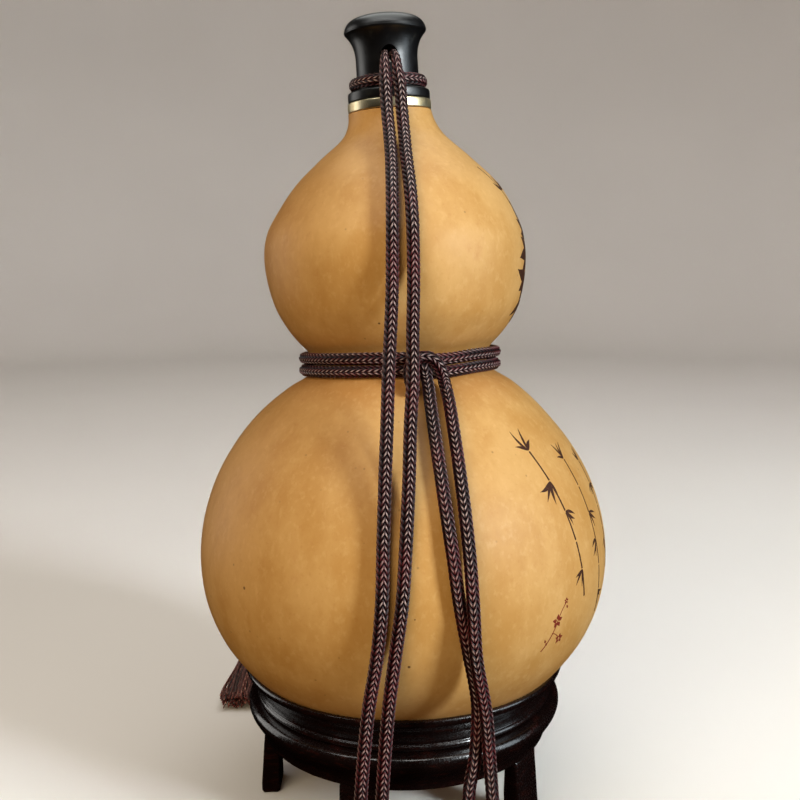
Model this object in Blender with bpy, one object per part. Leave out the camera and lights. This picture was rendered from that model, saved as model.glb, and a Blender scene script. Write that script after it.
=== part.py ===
"""A dried bottle gourd made into a stoppered flask, on a lacquered ring stand.

Metres, +Z up. The origin is on the table under the middle of the stand. The front is
towards -Y. A doubled braided cord hangs from the stopper down the front, and the
same cord runs down the back to a tassel.
"""
import math

import bmesh
import bpy
import numpy as np
from mathutils import Euler, Vector

# Driving dimensions
BELLY_RADIUS = 0.083
BELLY_HEIGHT = 0.106
CROWN_RADIUS = 0.0519
CROWN_HEIGHT = 0.224
WAIST_RADIUS = 0.0352
WAIST_HEIGHT = 0.184
MOUTH_RADIUS = 0.0163
MOUTH_HEIGHT = 0.2822
MOUTH_SHIFT = -0.0035
NECK_LEAN = math.radians(3.0)
NECK_BEND_START = 0.262
BORE_RADIUS = 0.0081
BORE_DEPTH = 0.016
CORD_DIAMETER = 0.0048
STAND_RADIUS = 0.0666
LEG_COUNT = 5
FIRST_LEG_AZIMUTH = math.radians(55)
GAP = 0.0003

# Fineness of the solids
ROUND_SIDES = 48
SMALL_SIDES = 36
CORD_RING_SIDES = 8
CORD_POINT_SPACING = 0.0125
CORD_FINE_SPACING = 0.0035

CORD_RADIUS = CORD_DIAMETER / 2

# The gourd's outline, as (radius, height), from the bottom to the mouth
GOURD_OUTLINE = (
    (0.0, 0.027),
    (0.0120, 0.0282),
    (0.0240, 0.0316),
    (0.0350, 0.0372),
    (0.0455, 0.0447),
    (0.0548, 0.0525),
    (0.0641, 0.0600),
    (0.0695, 0.0660),
    (0.0760, 0.0760),
    (0.0812, 0.0900),
    (BELLY_RADIUS, BELLY_HEIGHT),
    (0.0812, 0.1220),
    (0.0759, 0.1380),
    (0.0678, 0.1520),
    (0.0577, 0.1640),
    (0.0459, 0.1740),
    (0.0379, 0.1789),
    (0.0357, 0.1812),
    (WAIST_RADIUS, WAIST_HEIGHT),
    (0.0357, 0.1868),
    (0.0372, 0.1892),
    (0.0406, 0.1929),
    (0.0443, 0.1980),
    (0.0491, 0.2080),
    (CROWN_RADIUS, CROWN_HEIGHT),
    (0.0508, 0.2350),
    (0.0467, 0.2440),
    (0.0403, 0.2540),
    (0.0301, 0.2640),
    (0.0196, 0.2735),
    (0.0169, 0.2788),
    (MOUTH_RADIUS, MOUTH_HEIGHT),
)
GOURD_RINGS = 42
OUTLINE_STEP = 0.0014
TURN_WEIGHT = 0.9

# How far the gourd's middle leans to the side, as (height, shift in X)
GOURD_LEAN = (
    (0.0, 0.0),
    (0.160, 0.0),
    (WAIST_HEIGHT, -0.0004),
    (0.206, -0.0013),
    (0.232, -0.0019),
    (0.254, -0.0008),
    (0.268, -0.0014),
    (MOUTH_HEIGHT, MOUTH_SHIFT),
)

# The turned pieces above the mouth, as heights over the gourd's rim
BRASS_BOTTOM = GAP
BRASS_HEIGHT = 0.0036
COLLAR_HEIGHT = 0.0041
COLLAR_RADIUS = 0.0160
PLUG_LENGTH = 0.0115
PLUG_RADIUS = BORE_RADIUS - 0.0004
STOPPER_NECK_RADIUS = 0.0121
STOPPER_RIM_RADIUS = 0.0160
NECK_CORD_RING_RADIUS = 0.0139
NECK_CORD_HALF_WIDTH = 0.0014
NECK_CORD_HALF_HEIGHT = 0.0022
NECK_CORD_HEIGHT = 0.0109
CORD_HOLE_RADIUS = 0.0032
CORD_HOLE_HEIGHT = 0.0203
CORD_HOLE_TURN = math.radians(6)

# The two turns of cord round the waist
WAIST_CORD_RING_RADIUS = 0.0387
WAIST_CORD_RADIUS = 0.0023
WAIST_CORD_SPACING = 0.0049
WAIST_CORD_SHIFT = -0.0004

# How far the waist and its cords lie above a level waist: everywhere, towards the front and
# towards the right, and how far they are drawn down under the hitch
WAIST_RISE = 0.0006
WAIST_FRONT_RISE = 0.0028
WAIST_RIGHT_RISE = 0.0011
WAIST_DIP = 0.0012
WAIST_DIP_AZIMUTH = math.radians(24)
WAIST_DIP_WIDTH = math.radians(17)
WAIST_TILT_LEVEL = 0.006
WAIST_TILT_FADE = 0.021

# The stand's turned ring and apron, as (radius, height)
STAND_RING_OUTLINE = (
    (0.0572, 0.0464),
    (0.0600, 0.0464),
    (0.0611, 0.0465),
    (0.0618, 0.0470),
    (0.0621, 0.0478),
    (0.0618, 0.0486),
    (0.0612, 0.0492),
    (0.0615, 0.0502),
    (0.0630, 0.0533),
    (0.0646, 0.0564),
    (0.0661, 0.0579),
    (STAND_RADIUS, 0.0592),
    (0.0664, 0.0604),
    (0.0656, 0.0609),
    (0.0650, 0.0607),
    (0.0647, 0.0600),
    (0.0612, 0.0562),
    (0.0577, 0.0522),
)
STAND_APRON_OUTLINE = (
    (0.0535, 0.0303),
    (0.0598, 0.0303),
    (0.0602, 0.0322),
    (0.0616, 0.0352),
    (0.0637, 0.0381),
    (0.0652, 0.0408),
    (0.0656, 0.0430),
    (0.0648, 0.0449),
    (0.0628, 0.0459),
    (0.0600, 0.0461),
    (0.0568, 0.0461),
    (0.0565, 0.0410),
    (0.0553, 0.0355),
)

# A leg's side view, as (distance from the middle, height)
LEG_OUTLINE = (
    (0.0540, 0.0),
    (0.0602, 0.0),
    (0.0610, 0.0009),
    (0.0611, 0.0040),
    (0.0604, 0.0120),
    (0.0598, 0.0200),
    (0.0592, 0.0265),
    (0.0590, 0.0300),
    (0.0545, 0.0300),
    (0.0535, 0.0250),
    (0.0532, 0.0160),
    (0.0534, 0.0070),
    (0.0533, 0.0010),
)
LEG_WIDTH = 0.016
LEG_BEVEL = 0.0007

# Routes of the free cords, hand set, as (x, y, z)
OUTER_STRAP_ROUTE = (
    (-0.0054, -0.0080, 0.3024),
    (-0.0050, -0.0136, 0.3022),
    (-0.0051, -0.0178, 0.2998),
    (-0.0051, -0.0197, 0.2950),
    (-0.0048, -0.0212, 0.2890),
    (-0.0043, -0.0240, 0.2800),
    (-0.0035, -0.0290, 0.2710),
    (-0.0029, -0.0362, 0.2630),
    (-0.0026, -0.0470, 0.2500),
    (-0.0026, -0.0526, 0.2395),
    (-0.0027, -0.0553, 0.2270),
    (-0.0029, -0.0585, 0.2140),
    (-0.0036, -0.0619, 0.2000),
    (-0.0044, -0.0655, 0.1860),
    (-0.0050, -0.0699, 0.1700),
    (-0.0058, -0.0750, 0.1520),
    (-0.0066, -0.0816, 0.1300),
    (-0.0072, -0.0857, 0.1120),
    (-0.0090, -0.0863, 0.0940),
    (-0.0122, -0.0866, 0.0745),
    (-0.0145, -0.0872, 0.0520),
    (-0.0160, -0.0884, 0.0300),
    (-0.0176, -0.0930, 0.0125),
    (-0.0195, -0.1045, 0.0038),
    (-0.0215, -0.1210, 0.0029),
    (-0.0205, -0.1390, 0.0029),
    (-0.0120, -0.1550, 0.0029),
    (0.0050, -0.1630, 0.0029),
    (0.0220, -0.1580, 0.0029),
    (0.0345, -0.1430, 0.0029),
    (0.0385, -0.1240, 0.0029),
    (0.0370, -0.1060, 0.0036),
    (0.0338, -0.0935, 0.0120),
    (0.0314, -0.0875, 0.0280),
    (0.0300, -0.0850, 0.0450),
    (0.0293, -0.0846, 0.0545),
    (0.0276, -0.0856, 0.0745),
    (0.0243, -0.0874, 0.0940),
    (0.0234, -0.0860, 0.1110),
    (0.0226, -0.0825, 0.1250),
    (0.0214, -0.0768, 0.1390),
    (0.0200, -0.0687, 0.1525),
    (0.0186, -0.0602, 0.1640),
    (0.0172, -0.0518, 0.1745),
    (0.0165, -0.0468, 0.1784),
)
INNER_STRAP_ROUTE = (
    (-0.0024, -0.0080, 0.3024),
    (-0.0018, -0.0137, 0.3023),
    (-0.0009, -0.0178, 0.3000),
    (-0.0003, -0.0197, 0.2950),
    (0.0006, -0.0212, 0.2890),
    (0.0012, -0.0240, 0.2800),
    (0.0019, -0.0290, 0.2710),
    (0.0025, -0.0362, 0.2630),
    (0.0038, -0.0470, 0.2500),
    (0.0044, -0.0526, 0.2395),
    (0.0046, -0.0553, 0.2270),
    (0.0045, -0.0585, 0.2140),
    (0.0041, -0.0619, 0.2000),
    (0.0040, -0.0655, 0.1860),
    (0.0030, -0.0699, 0.1700),
    (0.0023, -0.0750, 0.1520),
    (0.0010, -0.0816, 0.1300),
    (-0.0004, -0.0858, 0.1120),
    (-0.0029, -0.0863, 0.0940),
    (-0.0054, -0.0866, 0.0745),
    (-0.0073, -0.0872, 0.0520),
    (-0.0085, -0.0882, 0.0300),
    (-0.0094, -0.0925, 0.0126),
    (-0.0104, -0.1030, 0.0038),
    (-0.0105, -0.1170, 0.0029),
    (-0.0085, -0.1310, 0.0029),
    (-0.0015, -0.1420, 0.0029),
    (0.0085, -0.1460, 0.0029),
    (0.0185, -0.1415, 0.0029),
    (0.0245, -0.1300, 0.0029),
    (0.0262, -0.1150, 0.0029),
    (0.0255, -0.1010, 0.0040),
    (0.0236, -0.0905, 0.0120),
    (0.0222, -0.0848, 0.0280),
    (0.0224, -0.0828, 0.0440),
    (0.0243, -0.0822, 0.0545),
    (0.0252, -0.0810, 0.0745),
    (0.0220, -0.0826, 0.0940),
    (0.0190, -0.0834, 0.1110),
    (0.0170, -0.0818, 0.1260),
    (0.0150, -0.0766, 0.1400),
    (0.0132, -0.0694, 0.1530),
    (0.0117, -0.0608, 0.1640),
    (0.0104, -0.0520, 0.1745),
    (0.0098, -0.0466, 0.1800),
    (0.0092, -0.0437, 0.1832),
    (0.0089, -0.0432, 0.1851),
)
OUTER_TAIL_ROUTE = (
    (-0.0041, 0.0080, 0.3024),
    (-0.0046, 0.0138, 0.3023),
    (-0.0036, 0.0180, 0.2997),
    (-0.0028, 0.0200, 0.2950),
    (-0.0024, 0.0215, 0.2890),
    (-0.0020, 0.0245, 0.2800),
    (-0.0014, 0.0295, 0.2710),
    (-0.0010, 0.0366, 0.2630),
    (-0.0004, 0.0474, 0.2500),
    (-0.0002, 0.0529, 0.2395),
    (-0.0002, 0.0555, 0.2270),
    (-0.0002, 0.0585, 0.2140),
    (-0.0004, 0.0619, 0.2000),
    (-0.0006, 0.0655, 0.1860),
    (-0.0010, 0.0699, 0.1700),
    (-0.0016, 0.0750, 0.1520),
    (-0.0024, 0.0816, 0.1300),
    (-0.0032, 0.0858, 0.1120),
    (-0.0044, 0.0863, 0.0940),
    (-0.0060, 0.0868, 0.0740),
    (-0.0076, 0.0880, 0.0520),
    (-0.0096, 0.0900, 0.0310),
    (-0.0126, 0.0955, 0.0135),
    (-0.0180, 0.1070, 0.0042),
    (-0.0260, 0.1210, 0.0029),
    (-0.0360, 0.1375, 0.0029),
    (-0.0475, 0.1535, 0.0029),
    (-0.0600, 0.1650, 0.0029),
    (-0.0730, 0.1680, 0.0029),
    (-0.0830, 0.1625, 0.0032),
    (-0.0880, 0.1535, 0.0044),
    (-0.0884, 0.1470, 0.0054),
)
INNER_TAIL_ROUTE = (
    (-0.0071, 0.0080, 0.3024),
    (-0.0077, 0.0136, 0.3022),
    (-0.0081, 0.0180, 0.2996),
    (-0.0080, 0.0200, 0.2950),
    (-0.0078, 0.0215, 0.2890),
    (-0.0074, 0.0245, 0.2800),
    (-0.0068, 0.0295, 0.2710),
    (-0.0064, 0.0366, 0.2630),
    (-0.0058, 0.0472, 0.2500),
    (-0.0056, 0.0528, 0.2395),
    (-0.0056, 0.0554, 0.2270),
    (-0.0057, 0.0585, 0.2140),
    (-0.0060, 0.0619, 0.2000),
    (-0.0064, 0.0655, 0.1860),
    (-0.0070, 0.0699, 0.1700),
    (-0.0080, 0.0750, 0.1520),
    (-0.0090, 0.0816, 0.1300),
    (-0.0100, 0.0857, 0.1120),
    (-0.0110, 0.0863, 0.0940),
    (-0.0125, 0.0868, 0.0740),
    (-0.0142, 0.0880, 0.0520),
    (-0.0164, 0.0895, 0.0310),
    (-0.0196, 0.0940, 0.0135),
    (-0.0248, 0.1045, 0.0042),
    (-0.0320, 0.1175, 0.0029),
    (-0.0415, 0.1325, 0.0029),
    (-0.0515, 0.1460, 0.0029),
    (-0.0615, 0.1555, 0.0029),
    (-0.0705, 0.1590, 0.0029),
    (-0.0785, 0.1565, 0.0034),
    (-0.0825, 0.1510, 0.0046),
    (-0.0832, 0.1468, 0.0054),
)
WAIST_KNOT_ROUTE = (
    (0.0046, -0.0482, 0.1780),
    (0.0036, -0.0460, 0.1810),
    (0.0030, -0.0447, 0.1848),
    (0.0042, -0.0443, 0.1886),
    (0.0075, -0.0441, 0.1905),
    (0.0108, -0.0438, 0.1902),
    (0.0134, -0.0432, 0.1877),
    (0.0150, -0.0426, 0.1842),
    (0.0157, -0.0432, 0.1816),
    (0.0163, -0.0460, 0.1791),
)
CORD_END_SCALE = 0.56
CORD_GROWS_FROM = 0.006
CORD_FULL_AT = 0.020
CORD_BEND_LENGTH = 0.028

# The tassel, lying on the table behind the stand on the left
TASSEL_TOP = Vector((-0.0858, 0.1456, 0.0060))
TASSEL_TIP = Vector((-0.0838, 0.0665, 0.0048))
TASSEL_HEAD_LENGTH = 0.0130
TASSEL_HEAD_SECTIONS = (
    (0.00, 0.0040, 0.0040),
    (0.15, 0.0054, 0.0052),
    (0.55, 0.0057, 0.0055),
    (0.80, 0.0052, 0.0050),
    (1.00, 0.0044, 0.0044),
)
TASSEL_SKIRT_SECTIONS = (
    (0.00, 0.0044, 0.0044),
    (0.08, 0.0062, 0.0054),
    (0.30, 0.0076, 0.0052),
    (0.65, 0.0094, 0.0047),
    (1.00, 0.0112, 0.0043),
)
TASSEL_SIDES = 20


def clear_scene():
    for item in list(bpy.data.objects):
        bpy.data.objects.remove(item, do_unlink=True)


def material(name, color, roughness, metallic=0.0):
    finish = bpy.data.materials.new(name)
    finish.use_nodes = True
    shader = finish.node_tree.nodes["Principled BSDF"]
    shader.inputs["Base Color"].default_value = (*color, 1.0)
    shader.inputs["Roughness"].default_value = roughness
    shader.inputs["Metallic"].default_value = metallic
    return finish


def smooth_route(points, spacing, fine_start=0.0):
    """Points on a centripetal Catmull-Rom curve through the given ones.

    They are evenly spaced, and CORD_FINE_SPACING apart over the first fine_start metres.
    """
    knots = np.array(points, dtype=float)
    knots = np.vstack([2 * knots[0] - knots[1], knots, 2 * knots[-1] - knots[-2]])
    dense = [knots[1]]
    for p0, p1, p2, p3 in zip(knots, knots[1:], knots[2:], knots[3:]):
        t1 = math.sqrt(np.linalg.norm(p1 - p0))
        t2 = t1 + math.sqrt(np.linalg.norm(p2 - p1))
        t3 = t2 + math.sqrt(np.linalg.norm(p3 - p2))
        for t in np.linspace(t1, t2, 13)[1:]:
            a1 = (t1 - t) / t1 * p0 + t / t1 * p1
            a2 = (t2 - t) / (t2 - t1) * p1 + (t - t1) / (t2 - t1) * p2
            a3 = (t3 - t) / (t3 - t2) * p2 + (t - t2) / (t3 - t2) * p3
            b1 = (t2 - t) / t2 * a1 + t / t2 * a2
            b2 = (t3 - t) / (t3 - t1) * a2 + (t - t1) / (t3 - t1) * a3
            dense.append((t2 - t) / (t2 - t1) * b1 + (t - t1) / (t2 - t1) * b2)
    dense = np.array(dense)
    travelled = np.concatenate([[0.0], np.cumsum(np.linalg.norm(np.diff(dense, axis=0), axis=1))])
    count = max(2, round((travelled[-1] - fine_start) / spacing) + 1)
    stations = np.linspace(fine_start, travelled[-1], count)
    stations = np.concatenate([np.arange(0.0, fine_start - 1e-6, CORD_FINE_SPACING), stations])
    return np.stack([np.interp(stations, travelled, axis) for axis in dense.T], axis=1)


def finish_object(name, bm, finish, sharp_degrees=35):
    """Close up a bmesh, point its faces outwards and link it as a named object."""
    bmesh.ops.remove_doubles(bm, verts=bm.verts, dist=1e-6)
    bmesh.ops.recalc_face_normals(bm, faces=bm.faces)
    mesh = bpy.data.meshes.new(name)
    bm.to_mesh(mesh)
    bm.free()
    mesh.materials.append(finish)
    mesh.shade_smooth()
    mesh.set_sharp_from_angle(angle=math.radians(sharp_degrees))
    item = bpy.data.objects.new(name, mesh)
    bpy.context.scene.collection.objects.link(item)
    return item


def spun(outline, sides, closed):
    """A bmesh of an outline of (radius, height) turned once round Z."""
    bm = bmesh.new()
    verts = [bm.verts.new((radius, 0.0, height)) for radius, height in outline]
    edges = [bm.edges.new(pair) for pair in zip(verts, verts[1:])]
    if closed:
        edges.append(bm.edges.new((verts[-1], verts[0])))
    bmesh.ops.spin(
        bm,
        geom=verts + edges,
        cent=(0, 0, 0),
        axis=(0, 0, 1),
        angle=math.tau,
        steps=sides,
        use_merge=True,
    )
    return bm


def turned(name, outline, sides, finish, closed=True):
    return finish_object(name, spun(outline, sides, closed), finish)


def neck_axis():
    """The leaning axis that the mouth, its rings and the stopper share."""
    axis = bpy.data.objects.new("neck_axis", None)
    axis.location = (MOUTH_SHIFT, 0.0, MOUTH_HEIGHT)
    axis.rotation_euler = (0.0, -NECK_LEAN, 0.0)
    bpy.context.scene.collection.objects.link(axis)
    return axis


def waist_rise(place):
    """How far the tilted waist lifts a point of a gourd with a level one."""
    azimuth = math.atan2(place.x, -place.y)
    away = (abs(place.z - WAIST_HEIGHT) - WAIST_TILT_LEVEL) / WAIST_TILT_FADE
    away = min(max(away, 0.0), 1.0)
    tilt = WAIST_RISE + WAIST_FRONT_RISE * math.cos(azimuth) + WAIST_RIGHT_RISE * math.sin(azimuth)
    dip = WAIST_DIP * math.exp(-((azimuth - WAIST_DIP_AZIMUTH) / WAIST_DIP_WIDTH) ** 2)
    return (tilt - dip) * (1 - away * away * (3 - 2 * away))


def gourd(axis, finish):
    """One grown body: belly, waist and crown, with the mouth cut for the stopper."""
    outline = even_by_turn(smooth_route(GOURD_OUTLINE, OUTLINE_STEP), GOURD_RINGS)
    rings = [(max(radius, 0.0), height) for radius, height in outline]
    bm = spun(rings + [(0.0, MOUTH_HEIGHT)], ROUND_SIDES, closed=False)
    lean_height, lean_shift = zip(*GOURD_LEAN)
    bend_length = MOUTH_HEIGHT - NECK_BEND_START
    for vert in bm.verts:
        vert.co.z += waist_rise(vert.co)
        height = vert.co.z
        share = min(max((height - NECK_BEND_START) / bend_length, 0.0), 1.0)
        share = share * share * (3 - 2 * share)
        middle = Vector((0.0, 0.0, height))
        vert.co = middle + Euler((0.0, -NECK_LEAN * share, 0.0)).to_matrix() @ (vert.co - middle)
        vert.co.x += float(np.interp(height, lean_height, lean_shift))
    body = finish_object("gourd", bm, finish, sharp_degrees=60)
    bore = mouth_cutter(axis)
    cut = body.modifiers.new("mouth", "BOOLEAN")
    cut.operation = "DIFFERENCE"
    cut.object = bore
    return body


def even_by_turn(outline, count):
    """Pick points closer together where the outline turns more."""
    steps = np.diff(outline, axis=0)
    lengths = np.linalg.norm(steps, axis=1)
    heading = np.unwrap(np.arctan2(steps[:, 1], steps[:, 0]))
    turns = np.abs(np.diff(heading, prepend=heading[0]))
    weight = np.concatenate([[0.0], np.cumsum(lengths / lengths.sum() + TURN_WEIGHT * turns / turns.sum())])
    stations = np.linspace(0.0, weight[-1], count)
    return np.stack([np.interp(stations, weight, outline[:, axis]) for axis in range(2)], axis=1)


def mouth_cutter(axis):
    bm = bmesh.new()
    bmesh.ops.create_cone(
        bm,
        cap_ends=True,
        segments=SMALL_SIDES,
        radius1=BORE_RADIUS,
        radius2=BORE_RADIUS,
        depth=2 * BORE_DEPTH,
    )
    return hidden_cutter("mouth_cutter", bm, axis)


def hidden_cutter(name, bm, axis):
    mesh = bpy.data.meshes.new(name)
    bm.to_mesh(mesh)
    bm.free()
    cutter = bpy.data.objects.new(name, mesh)
    cutter.parent = axis
    cutter.hide_render = True
    cutter.display_type = "WIRE"
    bpy.context.scene.collection.objects.link(cutter)
    return cutter


def mouth_rings(axis, brass, black):
    """The brass ring on the rim and the black collar on the brass."""
    top = BRASS_BOTTOM + BRASS_HEIGHT
    inner = BORE_RADIUS + 0.0001
    soft = 0.0005
    ring = turned(
        "brass_ring",
        (
            (inner, BRASS_BOTTOM),
            (MOUTH_RADIUS - soft, BRASS_BOTTOM),
            (MOUTH_RADIUS, BRASS_BOTTOM + soft),
            (MOUTH_RADIUS, top - soft),
            (MOUTH_RADIUS - soft, top),
            (inner, top),
        ),
        SMALL_SIDES,
        brass,
    )
    low = top + GAP
    high = low + COLLAR_HEIGHT
    collar = turned(
        "collar",
        (
            (inner, low),
            (COLLAR_RADIUS - soft, low),
            (COLLAR_RADIUS, low + soft),
            (COLLAR_RADIUS, high - 2 * soft),
            (COLLAR_RADIUS - soft, high - soft),
            (COLLAR_RADIUS - 3 * soft, high),
            (inner, high),
        ),
        SMALL_SIDES,
        black,
    )
    ring.parent = axis
    collar.parent = axis
    return high


def stopper(axis, foot_height, black):
    """A turned plug with a waisted neck, a flared rim and a cross hole for the cords."""
    foot = foot_height + GAP
    profile = (
        (0.0, -PLUG_LENGTH),
        (PLUG_RADIUS - 0.0008, -PLUG_LENGTH),
        (PLUG_RADIUS, -PLUG_LENGTH + 0.0008),
        (PLUG_RADIUS, foot),
        (STOPPER_NECK_RADIUS, foot),
        (STOPPER_NECK_RADIUS, 0.0150),
        (STOPPER_NECK_RADIUS, 0.0182),
        (STOPPER_NECK_RADIUS, 0.0212),
        (0.0126, 0.0243),
        (0.0137, 0.0271),
        (0.0150, 0.0290),
        (STOPPER_RIM_RADIUS - 0.0002, 0.0299),
        (STOPPER_RIM_RADIUS, 0.0304),
        (STOPPER_RIM_RADIUS - 0.0002, 0.0314),
        (STOPPER_RIM_RADIUS - 0.0007, 0.0326),
        (STOPPER_RIM_RADIUS - 0.0015, 0.0337),
        (STOPPER_RIM_RADIUS - 0.0029, 0.0347),
        (0.0100, 0.0357),
        (0.0050, 0.0364),
        (0.0, 0.0367),
    )
    body = turned("stopper", profile, SMALL_SIDES, black, closed=False)
    body.parent = axis
    bm = bmesh.new()
    bmesh.ops.create_cone(
        bm,
        cap_ends=True,
        segments=16,
        radius1=CORD_HOLE_RADIUS,
        radius2=CORD_HOLE_RADIUS,
        depth=4 * STOPPER_RIM_RADIUS,
    )
    cutter = hidden_cutter("cord_hole_cutter", bm, axis)
    cutter.rotation_euler = (math.radians(90), 0.0, CORD_HOLE_TURN)
    cutter.location = (0.0, 0.0, CORD_HOLE_HEIGHT)
    cut = body.modifiers.new("cord_hole", "BOOLEAN")
    cut.operation = "DIFFERENCE"
    cut.object = cutter
    return body


def cord_ring(name, ring_radius, half_width, half_height, height, finish):
    """A closed turn of cord round the gourd, its section an oval."""
    section = [
        (
            ring_radius + half_width * math.cos(math.tau * step / CORD_RING_SIDES),
            height + half_height * math.sin(math.tau * step / CORD_RING_SIDES),
        )
        for step in range(CORD_RING_SIDES)
    ]
    return turned(name, section, SMALL_SIDES, finish)


def bound_cords(axis, finish):
    """The turn at the stopper's foot and the two turns in the waist."""
    neck = cord_ring(
        "neck_cord",
        NECK_CORD_RING_RADIUS,
        NECK_CORD_HALF_WIDTH,
        NECK_CORD_HALF_HEIGHT,
        NECK_CORD_HEIGHT,
        finish,
    )
    neck.parent = axis
    for name, side in (("waist_cord_lower", -0.5), ("waist_cord_upper", 0.5)):
        turn = cord_ring(
            name,
            WAIST_CORD_RING_RADIUS,
            WAIST_CORD_RADIUS,
            WAIST_CORD_RADIUS,
            WAIST_HEIGHT + side * WAIST_CORD_SPACING,
            finish,
        )
        for vert in turn.data.vertices:
            vert.co.z += waist_rise(vert.co)
        turn.location.x = WAIST_CORD_SHIFT


def cord_tube(name, route, finish, pinched_start=True, spacing=CORD_POINT_SPACING):
    """A cord as one smooth tube, pinched where it comes out of the stopper's hole."""
    points = smooth_route(route, spacing, CORD_BEND_LENGTH if pinched_start else 0.0)
    travelled = np.concatenate([[0.0], np.cumsum(np.linalg.norm(np.diff(points, axis=0), axis=1))])
    curve = bpy.data.curves.new(name, "CURVE")
    curve.dimensions = "3D"
    curve.bevel_depth = CORD_RADIUS
    curve.bevel_resolution = 2
    curve.use_fill_caps = True
    spline = curve.splines.new("POLY")
    spline.points.add(len(points) - 1)
    for point, place, distance in zip(spline.points, points, travelled):
        point.co = (*place, 1.0)
        if pinched_start:
            share = (distance - CORD_GROWS_FROM) / (CORD_FULL_AT - CORD_GROWS_FROM)
            share = min(max(share, 0.0), 1.0)
            point.radius = CORD_END_SCALE + (1 - CORD_END_SCALE) * share
    curve.materials.append(finish)
    item = bpy.data.objects.new(name, curve)
    bpy.context.scene.collection.objects.link(item)
    return item


def free_cords(finish):
    """Two straps down the front, two tails down the back, and the hitch at the waist."""
    cord_tube("strap_outer", OUTER_STRAP_ROUTE, finish)
    cord_tube("strap_inner", INNER_STRAP_ROUTE, finish)
    cord_tube("tail_outer", OUTER_TAIL_ROUTE, finish)
    cord_tube("tail_inner", INNER_TAIL_ROUTE, finish)
    cord_tube("waist_knot", WAIST_KNOT_ROUTE, finish, pinched_start=False, spacing=CORD_RADIUS)


def lofted(name, start, end, sections, finish):
    """Oval sections of (share of the way, half width, half height) joined along a line."""
    bm = bmesh.new()
    along = (end - start).normalized()
    turn = along.to_track_quat("Y", "Z")
    loops = []
    for share, half_width, half_height in sections:
        made = bmesh.ops.create_circle(bm, segments=TASSEL_SIDES, radius=1.0)
        for vert in made["verts"]:
            flat = Vector((vert.co.x * half_width, 0.0, vert.co.y * half_height))
            vert.co = start.lerp(end, share) + turn @ flat
        loops.append(made["verts"])
    for lower, upper in zip(loops, loops[1:]):
        edges = [edge for edge in bm.edges if all(v in lower for v in edge.verts)]
        edges += [edge for edge in bm.edges if all(v in upper for v in edge.verts)]
        bmesh.ops.bridge_loops(bm, edges=edges)
    bm.faces.new(loops[0])
    bm.faces.new(loops[-1])
    return finish_object(name, bm, finish, sharp_degrees=50)


def tassel(cord_finish, thread_finish):
    along = (TASSEL_TIP - TASSEL_TOP).normalized()
    head_end = TASSEL_TOP + along * TASSEL_HEAD_LENGTH
    skirt_start = head_end + along * GAP
    lofted("tassel_head", TASSEL_TOP, head_end, TASSEL_HEAD_SECTIONS, cord_finish)
    lofted("tassel_skirt", skirt_start, TASSEL_TIP, TASSEL_SKIRT_SECTIONS, thread_finish)


def leg(number, azimuth, finish):
    """A flat, slightly bowed leg under the apron, with a flat foot."""
    bm = bmesh.new()
    verts = [bm.verts.new((0.0, -distance, height)) for distance, height in LEG_OUTLINE]
    face = bm.faces.new(verts)
    side = bmesh.ops.extrude_face_region(bm, geom=[face])["geom"]
    moved = [item for item in side if isinstance(item, bmesh.types.BMVert)]
    bmesh.ops.translate(bm, verts=moved, vec=(LEG_WIDTH, 0.0, 0.0))
    bmesh.ops.translate(bm, verts=bm.verts, vec=(-LEG_WIDTH / 2, 0.0, 0.0))
    item = finish_object("leg_%d" % number, bm, finish)
    item.rotation_euler.z = azimuth
    bevel = item.modifiers.new("soft_edges", "BEVEL")
    bevel.width = LEG_BEVEL
    bevel.segments = 1
    bevel.limit_method = "ANGLE"
    bevel.angle_limit = math.radians(50)
    return item


def stand(finish):
    turned("stand_ring", STAND_RING_OUTLINE, ROUND_SIDES, finish)
    turned("stand_apron", STAND_APRON_OUTLINE, ROUND_SIDES, finish)
    for number in range(LEG_COUNT):
        leg(number + 1, FIRST_LEG_AZIMUTH + number * math.tau / LEG_COUNT, finish)


def main():
    clear_scene()
    rind = material("gourd_rind", (0.62, 0.37, 0.15), 0.38)
    brass = material("brass", (0.78, 0.62, 0.34), 0.25, metallic=1.0)
    black = material("black_lacquer", (0.012, 0.009, 0.009), 0.22)
    braid = material("dark_red_braid", (0.10, 0.025, 0.035), 0.6)
    thread = material("tassel_thread", (0.12, 0.03, 0.03), 0.7)
    lacquer = material("dark_red_lacquer", (0.035, 0.010, 0.009), 0.25)

    axis = neck_axis()
    gourd(axis, rind)
    collar_top = mouth_rings(axis, brass, black)
    stopper(axis, collar_top, black)
    bound_cords(axis, braid)
    free_cords(braid)
    tassel(braid, thread)
    stand(lacquer)


main()
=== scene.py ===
"""The looks of a dried bottle gourd made into a stoppered flask, on a ring stand.

Built round the part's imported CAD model. Metres, +Z up, the front towards -Y, and the
origin on the table under the middle of the stand and of the gourd's lower bulb.
"""
from __future__ import annotations

import logging
import math
import random
from dataclasses import dataclass
from enum import Enum
from typing import Any, Callable, Sequence

import bmesh
import bpy
import numpy as np
from mathutils import Matrix, Vector

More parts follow.
